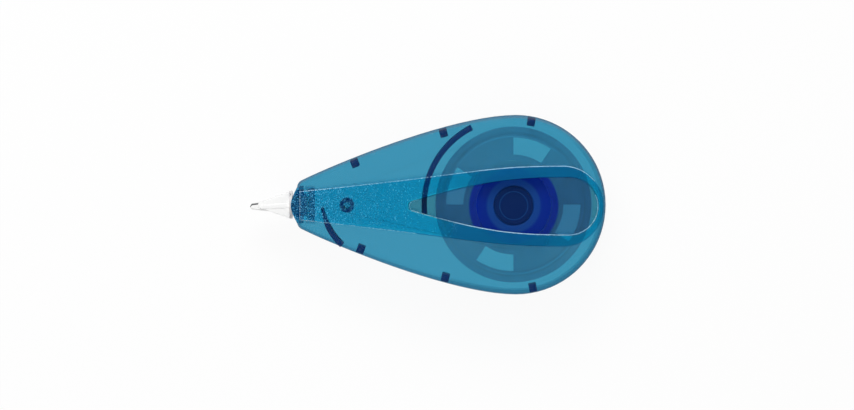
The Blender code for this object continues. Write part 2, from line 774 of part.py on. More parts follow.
def supply_tape():
    """From the tip over the guide finger, under the post and on to the full roll."""
    gap = film_offset()
    tip = finger_line(1.0)[0]
    over = (tip.x - RIB_THICKNESS / 6, tip.y + RIB_THICKNESS / 2 + gap)
    under = (POST_X, -POST_RADIUS - gap)
    angle = math.radians(tangent_angle(under, PACK_RADIUS + gap, 1))
    touch = ((PACK_RADIUS + gap) * math.cos(angle), (PACK_RADIUS + gap) * math.sin(angle))
    start = (STRAND_GAP - TONGUE_BACK, -TONGUE_BACK_HALF - gap)
    return strand("supply_tape", [start, over, under, touch], PACK_MID)


def return_film():
    gap = film_offset()
    radius = TAKEUP_FILM_RADIUS + gap
    start = (STRAND_GAP - TONGUE_BACK, TONGUE_BACK_HALF + gap)
    angle = math.radians(tangent_angle(start, radius, -1))
    touch = (radius * math.cos(angle), radius * math.sin(angle))
    return strand("return_film", [start, touch], DRUM_MID)


def tip_tape():
    """Tape along the tongue, round the blade's end and back."""
    gap = film_offset()
    centre = -BLADE_END + BLADE_HALF
    lower = [(-TONGUE_BACK, -TONGUE_BACK_HALF - gap), (-BASE_FRONT, -TONGUE_HALF - gap)]
    around = arc((centre, 0), BLADE_HALF + gap, 270, 90, 10)
    upper = [(x, -y) for x, y in reversed(lower)]
    path = [(x, y, 0.0) for x, y in lower + around + upper]
    return ribbon("tip_tape", path, FILM_THICKNESS, TAPE_WIDTH)


def give_material(obj, colour, roughness, alpha=1.0, metallic=0.0):
    material = bpy.data.materials.new(obj.name)
    material.use_nodes = True
    shader = material.node_tree.nodes["Principled BSDF"]
    shader.inputs["Base Color"].default_value = (*colour, 1.0)
    shader.inputs["Roughness"].default_value = roughness
    shader.inputs["Alpha"].default_value = alpha
    shader.inputs["Metallic"].default_value = metallic
    obj.data.materials.clear()
    obj.data.materials.append(material)


def settle(obj):
    """Turns a piece into metres and puts its origin on the reel axis."""
    bm = bmesh.new()
    bm.from_mesh(obj.data)
    bmesh.ops.remove_doubles(bm, verts=bm.verts, dist=0.0001)
    bmesh.ops.scale(bm, vec=(0.001, 0.001, 0.001), verts=bm.verts)
    bm.to_mesh(obj.data)
    bm.free()
    obj.location = (0.001 * AXIS_X, 0.0, 0.001 * MID_Z)


def main():
    clear_scene()
    drum_ring = DRUM_RADIUS + SEAT
    pieces = [
        (front_shell(), (0.05, 0.28, 0.43), 0.2, 0.55),
        (back_shell(), (0.05, 0.28, 0.43), 0.2, 0.55),
        (grip("front_grip"), (0.01, 0.22, 0.41), 0.45, 0.85),
        (turned_over(grip("back_grip")), (0.01, 0.22, 0.41), 0.45, 0.85),
        (front_window(), (0.05, 0.19, 0.28), 0.1, 0.4),
        (applicator_tip(), (0.85, 0.85, 0.84), 0.4, 1.0),
        (axle_cap(), (0.01, 0.03, 0.08), 0.4, 1.0),
        (supply_hub(), (0.02, 0.05, 0.2), 0.4, 1.0),
        (ring("supply_flange", CAP_RADIUS + 5 * SEAT, PACK_RADIUS, FLANGE_LOW, FLANGE_TOP),
         (0.01, 0.02, 0.22), 0.3, 0.9),
        (ring("tape_core", HUB_RADIUS + SEAT, CORE_RADIUS, PACK_LOW, PACK_TOP),
         (0.7, 0.7, 0.68), 0.6, 1.0),
        (ring("tape_pack", CORE_RADIUS + SEAT, PACK_RADIUS, PACK_LOW, PACK_TOP),
         (0.85, 0.86, 0.84), 0.6, 1.0),
        (takeup_drum(), (0.03, 0.12, 0.2), 0.3, 0.7),
        (ring("takeup_flange", DRUM_RADIUS - DRUM_WALL - FLANGE_LAND, REEL_RADIUS, TAKEUP_LOW,
              CHANNEL_LOW - SEAT), (0.03, 0.12, 0.2), 0.3, 0.7),
        (ring("takeup_film", drum_ring, drum_ring + SPENT_FILM, DRUM_MID - FILM_HALF,
              DRUM_MID + FILM_HALF), (0.5, 0.6, 0.65), 0.3, 0.8),
        (ring("clutch_ring", AXLE_RADIUS + 5 * SEAT, HUB_RADIUS - SEAT, CLUTCH_LOW,
              CLUTCH_LOW + CLUTCH_THICKNESS, BORE_ROUND), (0.02, 0.02, 0.02), 0.8, 1.0),
        (clutch_spring(), (0.6, 0.6, 0.6), 0.3, 1.0),
        (supply_tape(), (0.85, 0.86, 0.84), 0.5, 1.0),
        (tip_tape(), (0.2, 0.2, 0.22), 0.4, 1.0),
        (return_film(), (0.5, 0.6, 0.65), 0.3, 0.8),
    ]
    for obj, colour, roughness, alpha in pieces:
        give_material(obj, colour, roughness, alpha)
        settle(obj)


main()
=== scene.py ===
"""Correction tape dispenser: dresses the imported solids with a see-through blue casing,
glittering grip bands, a smoky window, a white blade tip and coaxial tape reels."""

import json
import math

import bmesh
import bpy
from mathutils import Matrix, Vector


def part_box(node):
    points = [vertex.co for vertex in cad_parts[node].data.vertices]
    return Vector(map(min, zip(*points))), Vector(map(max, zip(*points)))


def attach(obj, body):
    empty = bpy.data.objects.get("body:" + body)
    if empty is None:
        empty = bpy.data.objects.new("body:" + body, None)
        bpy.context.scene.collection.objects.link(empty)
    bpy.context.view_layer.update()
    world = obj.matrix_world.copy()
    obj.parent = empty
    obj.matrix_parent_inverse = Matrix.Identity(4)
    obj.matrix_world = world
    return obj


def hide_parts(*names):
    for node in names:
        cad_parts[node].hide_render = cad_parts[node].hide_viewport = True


bl_info = {
    "name": "Correction Tape Dispenser",
    "version": (1, 0, 0),
    "blender": (4, 5, 0),
    "location": "View3D > Sidebar > Correction Tape",
    "description": "Builds the casing, grips, window, tip, tape and reels of a correction tape dispenser",
    "category": "Object",
}

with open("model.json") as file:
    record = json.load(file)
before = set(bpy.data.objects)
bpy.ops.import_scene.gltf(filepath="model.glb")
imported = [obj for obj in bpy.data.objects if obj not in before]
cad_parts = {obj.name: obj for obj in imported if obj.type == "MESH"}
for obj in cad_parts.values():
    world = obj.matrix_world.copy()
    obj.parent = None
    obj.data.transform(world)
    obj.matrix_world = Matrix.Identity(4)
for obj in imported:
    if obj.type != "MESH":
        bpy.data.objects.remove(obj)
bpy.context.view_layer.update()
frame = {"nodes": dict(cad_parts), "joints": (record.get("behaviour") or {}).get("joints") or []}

MM = 0.001
# The reel axis on the parting plane: every piece is shaped round this point
AXIS = Vector(frame["joints"][0]["pos_m"])


def around_axis(node):
    """Lowest and highest corner of a solid, counted from the reel axis."""
    low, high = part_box(node)
    return low - AXIS, high - AXIS


SHELL_LOW, SHELL_HIGH = around_axis("front_shell")
GRIP_LOW, GRIP_HIGH = around_axis("front_grip")
PANE_HIGH = around_axis("front_window")[1]
TIP_LOW = around_axis("applicator_tip")[0]
LOOP_LOW, LOOP_HIGH = around_axis("tip_tape")
DRUM_LOW, DRUM_HIGH = around_axis("takeup_drum")
HUB_LOW, HUB_HIGH = around_axis("supply_hub")
CAP_LOW, CAP_HIGH = around_axis("axle_cap")

# Fixed places on the solids, counted from the reel axis
TAIL_RADIUS = SHELL_HIGH.y
TAIL_CENTRE = SHELL_HIGH.x - SHELL_HIGH.y
COLLAR_REACH = 1.5 * MM
NOSE = SHELL_LOW.x + COLLAR_REACH
NOSE_HALF = 5.45 * MM
NOSE_DROP = 2.2 * MM
TAPER_START = -21.0 * MM
PANE_LAP = 0.5 * MM
PANE_LENGTH = 46.7 * MM
POST_PLACE = NOSE + 12.5 * MM
RIB_CENTRE = (-0.6 * MM, 0.1 * MM, 0.0)
RIB_RADIUS = 21.7 * MM
RIB_THICKNESS = 1.33 * MM
RIB_ANGLES = (117.0, 185.8)
FINGER_START = Vector((NOSE + 6.3 * MM, -0.6 * MM))
FINGER_END = Vector((NOSE + 11.3 * MM, -9.95 * MM))
UPPER_TABS = (-40.1 * MM, -17.85 * MM, 4.65 * MM)
LOWER_TABS = (-38.6 * MM, -17.35 * MM, 5.1 * MM)
KEEPER_FRONT = NOSE + 2.95 * MM
KEEPER_BACK = NOSE + 4.45 * MM
PLATE_FRONT = NOSE + 2.4 * MM
PLATE_BACK = NOSE + 2.85 * MM
BASE_BACK = NOSE - 1.12 * MM
BASE_FRONT = NOSE - 1.85 * MM
CHEEK_END = NOSE - 9.7 * MM
BLADE_SHIFT = 0.45 * MM
BLADE_HALF = 0.4 * MM
TONGUE_HALF = 1.5 * MM
REEL_BORE = 3.18 * MM
DISC_THICKNESS = 0.55 * MM
# Radii between which the royal flange clears
FLANGE_FADE = (8.9 * MM, 9.7 * MM)

# Handle of a quarter circle as a share of its radius
ARC_HANDLE = 0.5523
# Gap between faces that touch, and distance at which points are one
SEAM = 0.02 * MM
WELD = 0.0005 * MM
# Angle in radians from which an edge counts as sharp
SHARP = 0.9
ALONG = (1.0, 0.0, 0.0)
UP = (0.0, 0.0, 1.0)


# Settings

def number(name, description, default, **more):
    return bpy.props.FloatProperty(name=name, description=description, default=default, **more)


def length(name, description, millimetres):
    return number(
        name, description, millimetres * MM, min=0.0, unit="LENGTH", subtype="DISTANCE", precision=5,
    )


def share(name, description, default):
    return number(name, description, default, min=0.0, max=1.0, subtype="FACTOR")


def colour(name, description, default):
    return bpy.props.FloatVectorProperty(
        name=name, description=description, default=default, size=3, min=0.0, max=1.0, subtype="COLOR",
    )


class CasingSettings(bpy.types.PropertyGroup):
    wall: length("Wall", "Thickness of the moulded wall", 1.4)
    nose_wall: length("Nose wall", "Thickness of the wall behind the collar", 2.0)
    edge_radius: length("Edge radius", "Rounding of the outer edge", 0.7)
    bulge: length("Bulge", "How far the sides lean in at the face", 0.45)
    tint: colour("Tint", "Light that passes one wall", (0.222, 0.565, 0.7))
    deep_tint: colour("Deep tint", "Light that passes the wall along its sides", (0.145, 0.34, 0.47))
    rim_tint: colour("Rim tint", "Light that passes the joint of the halves", (0.82, 0.89, 0.91))
    nose_tint: colour("Nose tint", "Light that passes the thick nose wall", (0.13, 0.46, 0.62))
    rib_colour: colour("Rib colour", "Deep colour of the tall ribs and tabs", (0.006, 0.028, 0.19))


class GripSettings(bpy.types.PropertyGroup):
    edge_radius: length("Edge radius", "Rounding of the band's upper edges", 0.42)
    tint: colour("Tint", "Light that passes the front band", (0.091, 0.892, 1.0))
    back_tint: colour("Back tint", "Light that passes the paler back band", (0.8, 0.97, 1.0))
    body: colour("Body", "Colour of the cloudy rubber", (0.003, 0.11, 0.265))
    cloud: share("Cloud", "Share of the light that the rubber scatters at the nose", 0.03)
    arm_cloud: share("Arm cloud", "Share of the light that the rubber scatters beside the window", 0.32)
    roll_cloud: share("Roll cloud", "Share that it scatters beyond that over the roll", 0.53)
    flake: length("Flake", "Width of a glitter flake on the face", 0.18)
    edge_flake: length("Edge flake", "Width of a glitter flake on the edge", 0.13)
    flake_colour: colour("Flake colour", "Colour of the glitter", (0.13, 0.59, 0.95))
    # The edge colours are glitter and also a painted highlight on the edges that face the key light; the low
    # colour paints that highlight paler on the band's lower side.
    edge_glitter_and_highlight: colour("Edge colour", "Colour of the glitter on the edge", (0.46, 0.74, 0.95))
    low_edge_glitter_and_highlight: colour("Low colour", "Colour of the glitter on the lower edge", (0.56, 0.86, 1.0))


class WindowSettings(bpy.types.PropertyGroup):
    gap: length("Gap", "Space round the pane", 0.03)
    tint: colour("Tint", "Light that passes the pane", (0.165, 0.318, 0.472))
    royal_tint: colour(
        "Royal tint", "Light that passes the pane over the supply reel's rim", (0.045, 0.074, 0.56),
    )
    point_tint: colour("Point tint", "Light that passes the pane beyond the reels", (0.184, 0.404, 0.458))


class TipSettings(bpy.types.PropertyGroup):
    edge_radius: length("Edge radius", "Rounding of the tip's edges", 0.12)
    colour: colour("Colour", "White of the tip", (0.95, 0.95, 0.945))
    # Painted shade: grey that the base disc takes where it sits under the collar.
    base_colour: colour("Base colour", "Grey of the tip's base disc", (0.69, 0.67, 0.67))
    film: length("Film", "Thickness of the tape as drawn", 0.2)
    film_colour: colour("Film colour", "Dark carrier film at the blade", (0.06, 0.06, 0.065))


class ReelSettings(bpy.types.PropertyGroup):
    edge_radius: length("Edge radius", "Rounding of the reel edges", 0.12)
    drum_tint: colour("Drum tint", "Light that passes one face of the take-up reel", (0.82, 0.81, 0.895))
    flange_colour: colour("Flange colour", "Royal blue of the supply reel", (0.012, 0.095, 0.95))
    hub_colour: colour("Hub colour", "Violet blue of the hub", (0.09, 0.3, 0.92))
    cap_colour: colour("Cap colour", "Navy of the axle cap", (0.006, 0.055, 0.29))
    groove_colour: colour("Groove colour", "Thin ring on the axle cap", (0.07, 0.23, 0.6))
    tape_colour: colour("Tape colour", "White of the wound tape", (0.9, 0.93, 0.88))
    slot_angle: number(
        "Slot angle", "Angle that each slot of the take-up reel takes up", math.radians(35), subtype="ANGLE",
    )


class StageSettings(bpy.types.PropertyGroup):
    lens: number("Lens", "Focal length of the camera in millimetres", 300.0)
    slant: number("Slant", "Degrees by which the camera leans to the upper side", 2.9)
    picture_width: length("Picture width", "Width that the picture takes in", 213.5)
    key_power: number("Key power", "Power of the light above the upper side", 3.0, subtype="POWER")
    fill_power: number("Fill power", "Power of the large soft light", 2.2, subtype="POWER")
    low_power: number("Low power", "Power of the light on the lower side", 0.8, subtype="POWER")
    ambient: share("Ambient", "Light from all round", 0.3)


# Materials

# Light scattered inside a plastic, which has no gloss of its own
DULL = {"Specular IOR Level": 0.0}
# Largest share of gloss on a see-through face
MOST_GLOSS = 0.07


class Socket:
    """An output in a node tree. Arithmetic on it adds Math nodes."""

    def __init__(self, finish, output):
        self.finish = finish
        self.output = output

    def __add__(self, other):
        return self.finish.maths("ADD", self, other)

    def __sub__(self, other):
        return self.finish.maths("SUBTRACT", self, other)

    def __rsub__(self, other):
        return self.finish.maths("SUBTRACT", other, self)

    def __mul__(self, other):
        return self.finish.maths("MULTIPLY", self, other)

    def __pow__(self, other):
        return self.finish.maths("POWER", self, other)

    def __gt__(self, other):
        return self.finish.maths("GREATER_THAN", self, other)

    def __abs__(self):
        return self.finish.maths("ABSOLUTE", self, 0.0)

    __radd__ = __add__
    __rmul__ = __mul__


class Finish:
    """Node tree of one material or of the world."""

    def __init__(self, holder):
        holder.use_nodes = True
        self.holder = holder
        self.tree = holder.node_tree
        self.tree.nodes.clear()

    def node(self, kind, inputs=None, output=0, **settings):
        """Adds a shader node, sets it up and links its inputs."""
        made = self.tree.nodes.new("ShaderNode" + kind)
        for name, value in settings.items():
            setattr(made, name, value)
        for name, value in (inputs or {}).items():
            if isinstance(value, Socket):
                self.tree.links.new(value.output, made.inputs[name])
            else:
                made.inputs[name].default_value = value
        return Socket(self, made.outputs[output] if made.outputs else None)

    def maths(self, operation, first, second, **settings):
        return self.node("Math", {0: first, 1: second}, operation=operation, **settings)

    def place(self):
        return self.node("TexCoord", output="Object")

    def along(self, axis):
        """Distance from the reel axis along x, y or z."""
        centred = self.node("Mapping", {0: self.place(), 1: -AXIS})
        return self.node("SeparateXYZ", {0: centred}, axis)

    def radius(self):
        """Distance from the reel axis."""
        flat = Vector((1.0, 1.0, 0.0))
        centred = self.node("Mapping", {0: self.place(), 1: -AXIS * flat, 3: flat})
        return self.node("VectorMath", {0: centred}, "Value", operation="LENGTH")

    def noise(self, size, detail=3.0):
        """Soft random pattern from 0 to 1 with features of a given size."""
        return self.node("TexNoise", {"Vector": self.place(), "Scale": 1.0 / size, "Detail": detail})

    def rings(self, size):
        """Random rings round the reel axis."""
        inputs = {"W": self.radius() * (1.0 / size), "Detail": 2.0}
        return self.node("TexNoise", inputs, noise_dimensions="1D")

    def flakes(self, width):
        """Two random numbers from 0 to 1 for each flake of glitter."""
        cells = self.node("TexVoronoi", {"Vector": self.place(), "Scale": 1.0 / width}, "Color")
        return [self.node("SeparateColor", {0: cells}, name) for name in ("Red", "Green")]

    def ray(self, kind):
        return self.node("LightPath", output=f"Is {kind} Ray")

    def ramp(self, value, low, high, start=0.0, end=1.0):
        """A value stretched from one range to another and held at its ends."""
        inputs = {0: value, 1: low, 2: high, 3: start, 4: end}
        return self.node("MapRange", inputs, interpolation_type="SMOOTHSTEP")

    def blend(self, factor, first, second):
        """Colour between two colours."""
        return self.node("Mix", {0: factor, 6: opaque(first), 7: opaque(second)}, 2, data_type="RGBA")

    def toned(self, factor, base, low, high=1.0):
        """Colour between two shares of the same colour."""
        dark, bright = ([min(1.0, tone * part) for part in base] for tone in (low, high))
        return self.blend(factor, dark, bright)

    def mix(self, factor, first, second):
        return self.node("MixShader", {0: factor, 1: first, 2: second})

    def bump(self, height, depth, strength=1.0):
        return self.node("Bump", {"Height": height, "Distance": depth, "Strength": strength})

    def tinted(self, tint):
        return self.node("BsdfTransparent", {"Color": opaque(tint)})

    def tints(self, factor, first, second):
        """See-through shader between two tints."""
        return self.mix(factor, self.tinted(first), self.tinted(second))

    def body(self, base, roughness, normal=None, **more):
        inputs = {"Base Color": opaque(base), "Roughness": roughness, **more}
        if normal:
            inputs["Normal"] = normal
        return self.node("BsdfPrincipled", inputs)

    def glossed(self, shader, ior, roughness, normal):
        """A shader under a clear gloss that grows towards the edges."""
        fresnel = self.node("Fresnel", {"IOR": ior, "Normal": normal})
        gloss = self.node("BsdfAnisotropic", {"Roughness": roughness, "Normal": normal})
        return self.mix(self.maths("MINIMUM", fresnel, MOST_GLOSS), shader, gloss)

    def shadowed(self, shader, tint):
        """A shader that lets the lamps through with a tint."""
        return self.mix(self.ray("Shadow"), shader, self.tinted(tint))

    def shown(self, shader):
        self.node("OutputMaterial", {"Surface": shader})
        return self.holder

    def veiled(self, share_seen, tint, shader):
        """Material that is see-through but for a share of a shader."""
        return self.shown(self.mix(share_seen, self.tinted(tint), shader))


def opaque(value):
    return value if isinstance(value, Socket) else (*value[:3], 1.0)


def material(name):
    return Finish(bpy.data.materials.new(name))


def casing_plastic(settings):
    """See-through blue plastic: clear, faintly streaked, deeper along its sides."""
    finish = material("casing_plastic")
    streaks = finish.noise(6 * MM)
    waviness = finish.bump(finish.noise(9 * MM, 2.0), 0.02 * MM, 0.3)
    up = finish.node("TexCoord", output="Normal")
    lean = 1.0 - abs(finish.node("SeparateXYZ", {0: up}, "Z"))
    walls = finish.tints(lean ** 2.5, settings.tint, settings.deep_tint)
    base = finish.blend(streaks, (0.02, 0.2, 0.36), (0.03, 0.26, 0.42))
    haze = finish.body(base, 0.35, waviness, **DULL)
    seen = finish.mix(0.02 + 0.02 * streaks, walls, haze)
    return finish.shown(finish.glossed(seen, 1.15, 0.08 + 0.06 * streaks, waviness))


def inside_face(name, tint, cloud):
    """Unpolished inner face of a see-through moulding."""
    finish = material(name)
    grain = finish.noise(0.8 * MM)
    base = finish.blend(grain, (0.03, 0.2, 0.34), (0.05, 0.27, 0.42))
    return finish.veiled(cloud * grain, tint, finish.body(base, 0.6, **DULL))


def joint_face(settings):
    """Joint of the halves, deeper in colour towards the lower side of the tail."""
    finish = material("casing_joint")
    depth = finish.ramp(finish.along("X") - finish.along("Y"), -6 * MM, 9 * MM)
    seen = finish.tints(depth, (0.975, 0.988, 0.993), settings.rim_tint)
    scatter = finish.body((0.04, 0.23, 0.38), 0.6, **DULL)
    return finish.shown(finish.mix(0.05 * finish.noise(0.8 * MM), seen, scatter))


def nose_face(settings, grips):
    """Faces of the tip's way through the nose, dark and with some of the band's glitter."""
    finish = material("casing_nose")
    glint = finish.flakes(grips.flake)[1]
    flake = finish.body(grips.flake_colour, 0.4, **DULL)
    return finish.veiled(0.7 * glint ** 4.0, settings.nose_tint, flake)


def rib_plastic(settings):
    """The casing's plastic where it is so deep that little light passes."""
    finish = material("rib_plastic")
    flow = finish.noise(2.5 * MM)
    base = finish.toned(flow, settings.rib_colour, 0.82)
    return finish.shown(finish.body(base, 0.4 + 0.2 * flow, finish.bump(flow, 0.02 * MM)))


# Bands' glitter: share of the area at the nose and at the far end, share of a flake that is seen,
# roughness, and what is left of the glitter beside the window
FACE_GLITTER = {"dense": 0.5, "sparse": 0.05, "flake_share": 0.44, "roughness": 0.3, "on_arms": 0.0}
# On the edges the glitter is so dense and pale that it is also a painted highlight.
GLITTER_AND_HIGHLIGHT_ON_EDGE = {"dense": 0.98, "sparse": 0.92, "flake_share": 1.0, "roughness": 0.2, "on_arms": 1.0}


def grip_rubber(
    settings, name, width, colours, tint, cloudy, dense, sparse, flake_share, roughness, on_arms,
):
    """Blue rubber that grows cloudy beside the window, with glitter that is densest at the nose."""
    finish = material(name)
    chance, glint = finish.flakes(width)
    along = finish.along("X")
    flake = chance > 1.0 - finish.ramp(along, -54 * MM, -14 * MM, dense, sparse)
    cloud = finish.noise(3 * MM)
    tilt = finish.bump(chance, 0.03 * MM, 0.3)
    shine = finish.ramp(along, -50 * MM, -40 * MM, 1.8, 1.0)
    kept = finish.ramp(along, -19 * MM, -14 * MM, 1.0, on_arms)
    sparkle = flake * (0.12 + 0.88 * glint ** 3.0) * kept
    # On the edges this gives the lower side the paler colour, a brighter painted highlight where the key
    # light falls less.
    flakes = finish.blend(finish.ramp(finish.along("Y"), -2 * MM, 0.0), *colours)
    base = finish.blend(sparkle ** 0.3, settings.body, flakes)
    rubber = finish.body(base, roughness + 0.15 * cloud - 0.1 * flake, tilt, **DULL)
    across = along - 0.5 * finish.along("Y")
    beside_window = settings.cloud + cloudy * (settings.arm_cloud - settings.cloud)
    cloudiness = (
        finish.ramp(along, -18 * MM, -13 * MM, settings.cloud, beside_window)
        + finish.ramp(abs(across), 11.3 * MM, 14.5 * MM, cloudy * settings.roll_cloud, 0.0)
    )
    share_seen = cloudiness * (0.9 + 0.2 * cloud) + flake_share * sparkle * shine
    seen = finish.mix(share_seen, finish.tinted(tint), rubber)
    return finish.shown(finish.shadowed(finish.glossed(seen, 1.08, roughness, tilt), (0.1, 0.33, 0.4)))


def window_plastic(settings):
    """Smoky clear pane that lets the lamps through to the reels."""
    finish = material("window_plastic")
    smear = finish.noise(5 * MM)
    waviness = finish.bump(finish.noise(7 * MM, 2.0), 0.02 * MM, 0.3)
    out = finish.radius()
    plain = finish.tints(finish.ramp(out, 19 * MM, 20 * MM), settings.tint, settings.point_tint)
    over_rim = finish.ramp(out, *FLANGE_FADE) - finish.ramp(out, 10.9 * MM, 11.4 * MM)
    pane = finish.mix(over_rim, plain, finish.tinted(settings.royal_tint))
    base = finish.blend(smear, (0.01, 0.12, 0.2), (0.02, 0.15, 0.24))
    seen = finish.mix(0.01 + 0.02 * smear, pane, finish.body(base, 0.4, waviness, **DULL))
    glossed = finish.glossed(seen, 1.08, 0.06 + 0.05 * smear, waviness)
    return finish.shown(finish.shadowed(glossed, (0.65, 0.65, 0.65)))


def moulded_plastic(name, base, roughness):
    """Solid moulded plastic with a faint flow pattern."""
    finish = material(name)
    flow = finish.noise(1.8 * MM, 4.0)
    grain = finish.bump(finish.noise(0.3 * MM, 2.0), 0.01 * MM, 0.4)
    colours = finish.toned(flow, base, 0.93, 1.05)
    return finish.shown(finish.body(colours, roughness + 0.12 * flow, grain, IOR=1.45))


def turned_plastic(name, base, roughness):
    """Solid plastic with fine rings round the reel axis."""
    finish = material(name)
    rings = finish.rings(0.35 * MM)
    rough = roughness + 0.15 * finish.noise(2 * MM, 2.0)
    colours = finish.toned(rings, base, 0.85, 1.1)
    return finish.shown(finish.body(colours, rough, finish.bump(rings, 0.02 * MM, 0.4)))


def flange_plastic(settings):
    """Royal blue disc that clears towards its rim."""
    finish = material("flange_plastic")
    out = finish.radius()
    rings = finish.rings(0.5 * MM)
    royal = finish.toned(rings, settings.flange_colour, 0.85)
    base = finish.blend(finish.ramp(out, 6.3 * MM, 7.2 * MM), settings.hub_colour, royal)
    solid = finish.body(base, 0.3 + 0.15 * rings, finish.bump(rings, 0.02 * MM, 0.3))
    return finish.veiled(finish.ramp(out, *FLANGE_FADE, 0.95, 0.0), (1.0, 1.0, 0.99), solid)


def smoky_plastic(name, tint, cloud, pale=(0.6, 0.7, 0.6)):
    """Thin see-through plastic or tape of a reel."""
    finish = material(name)
    flow = finish.noise(4 * MM)
    scatter = finish.body(finish.toned(flow, pale, 0.87), 0.45, **DULL)
    return finish.veiled(cloud * (0.7 + 0.6 * flow), tint, scatter)


def clear_film(name, base, share_seen):
    """Thin carrier film that shows little from the front."""
    finish = material(name)
    streaks = finish.noise(1.2 * MM)
    strip = finish.body(finish.toned(streaks, base, 0.8), 0.25 + 0.2 * streaks)
    return finish.veiled(share_seen * (0.6 + 0.8 * streaks), (0.97, 0.99, 1.0), strip)


def tip_plastic(settings):
    """White moulded plastic with a painted shade that greys it at the tip's base, under the collar."""
    finish = material("tip_plastic")
    flow = finish.noise(1.8 * MM, 4.0)
    grain = finish.bump(finish.noise(0.3 * MM, 2.0), 0.01 * MM, 0.4)
    # Painted shade at the base disc.
    shaded_base = finish.ramp(finish.along("X"), BASE_FRONT - 0.2 * MM, BASE_FRONT + 0.1 * MM)
    base = finish.blend(shaded_base, finish.toned(flow, settings.colour, 0.96), settings.base_colour)
    return finish.shown(finish.body(base, 0.42 + 0.12 * flow, grain))


def tip_film(settings):
    """White tape on the way to the blade, and the dark film that it leaves bare on the way back."""
    finish = material("tip_film")
    streaks = finish.noise(0.6 * MM)
    bare = finish.ramp(finish.along("Y"), -0.3 * MM - BLADE_SHIFT, 0.1 * MM - BLADE_SHIFT)
    base = finish.blend(bare, finish.toned(streaks, settings.colour, 0.94), settings.film_colour)
    return finish.shown(finish.body(base, 0.35 + 0.15 * streaks))


def spring_steel():
    finish = material("spring_steel")
    brushed = finish.noise(0.25 * MM)
    base = finish.blend(brushed, (0.42, 0.43, 0.45), (0.66, 0.67, 0.68))
    return finish.shown(finish.body(base, 0.25 + 0.2 * brushed, Metallic=1.0))


# Shaping

def as_mesh(name, bm, finishes=()):
    """Mesh of a shape, which is used up."""
    mesh = bpy.data.meshes.new(name)
    for finish in finishes:
        mesh.materials.append(finish)
    bm.to_mesh(mesh)
    bm.free()
    return mesh


def placed(name, data):
    """New object in the scene."""
    made = bpy.data.objects.new(name, data)
    bpy.context.scene.collection.objects.link(made)
    return made


def moved(bm, offset):
    bmesh.ops.translate(bm, vec=offset, verts=bm.verts)
    return bm


def facing_out(bm):
    bmesh.ops.recalc_face_normals(bm, faces=bm.faces)
    return bm


def lifted(bm, extruded, height):
    """Moves the new points of an extrusion up or down."""
    points = [item for item in extruded["geom"] if isinstance(item, bmesh.types.BMVert)]
    bmesh.ops.translate(bm, vec=(0.0, 0.0, height), verts=points)


def steps_between(start, end, count):
    return [start + (end - start) * step / count for step in range(count + 1)]


def curve_edges(bm, corners, closed=True, fineness=16):
    """Adds the edges of a flat curve, given as points with their two handles."""
    data = bpy.data.curves.new("outline", "CURVE")
    data.dimensions = "2D"
    data.fill_mode = "NONE"
    spline = data.splines.new("BEZIER")
    spline.resolution_u = fineness
    spline.use_cyclic_u = closed
    spline.bezier_points.add(len(corners) - 1)
    for point, (place, before, after) in zip(spline.bezier_points, corners):
        point.handle_left_type = "FREE"
        point.handle_right_type = "FREE"
        point.co = (*place, 0.0)
        point.handle_left = (*before, 0.0)
        point.handle_right = (*after, 0.0)
    holder = bpy.data.objects.new("outline", data)
    mesh = bpy.data.meshes.new_from_object(holder)
    first = len(bm.edges)
    bm.from_mesh(mesh)
    bpy.data.objects.remove(holder)
    bpy.data.curves.remove(data)
    bpy.data.meshes.remove(mesh)
    bm.edges.ensure_lookup_table()
    return bm.edges[first:]


def raised(corners, low, high, fineness=16):
    """Solid between two heights with a curved outline."""
    bm = bmesh.new()
    edges = curve_edges(bm, corners, fineness=fineness)
    face = bmesh.ops.contextual_create(bm, geom=edges)["faces"][0]
    moved(bm, (0.0, 0.0, low))
    lifted(bm, bmesh.ops.extrude_face_region(bm, geom=[face]), high - low)
    return facing_out(bm)


def block(low, high):
    """Plain box between two corners."""
    bm = bmesh.new()
    bmesh.ops.create_cube(bm, size=1.0)
    bmesh.ops.scale(bm, vec=Vector(high) - Vector(low), verts=bm.verts)
    return moved(bm, (Vector(low) + Vector(high)) / 2)


def both_sides(low, high):
    """Two boxes, one on each side of the middle line."""
    return [block(low, high), block((low[0], -high[1], low[2]), (high[0], -low[1], high[2]))]


def revolved(spots, steps=96, direction=UP, closed=True):
    """Surface of revolution of a line of points."""
    bm = bmesh.new()
    verts = [bm.verts.new(spot) for spot in spots]
    ends = verts[1:] + verts[:1] if closed else verts[1:]
    edges = [bm.edges.new(pair) for pair in zip(verts, ends)]
    bmesh.ops.spin(
        bm, geom=verts + edges, cent=(0.0, 0.0, 0.0), axis=direction, dvec=(0.0, 0.0, 0.0),
        angle=2 * math.pi, steps=steps, use_merge=True, use_duplicate=False,
    )
    bmesh.ops.remove_doubles(bm, verts=bm.verts, dist=WELD)
    return bm


def spun(profile, steps=96):
    """Solid of revolution from a closed profile of points (radius, height)."""
    return facing_out(revolved([(radius, 0.0, height) for radius, height in profile], steps))


def ring(inner, outer, low, high, steps=96):
    return spun([(inner, low), (outer, low), (outer, high), (inner, high)], steps)


def ring_like(node, inner):
    """Ring with the outer size and the heights of a solid."""
    low, high = around_axis(node)
    return ring(inner, high.y, low.z, high.z)


def above(height):
    """Test for points at the top of a shape."""
    return lambda place: place.z > height - SEAM


def softened(bm, radius, segments=3, test=None):
    """Rounds the sharp edges, or those of them whose two ends pass a test."""
    edges = [edge for edge in bm.edges if len(edge.link_faces) == 2 and edge.calc_face_angle() > SHARP]
    if test:
        edges = [edge for edge in edges if all(test(vert.co) for vert in edge.verts)]
    bmesh.ops.bevel(
        bm, geom=edges, offset=radius, offset_type="OFFSET", segments=segments, profile=0.5,
        affect="EDGES", clamp_overlap=True, material=-1,
    )
    return bm


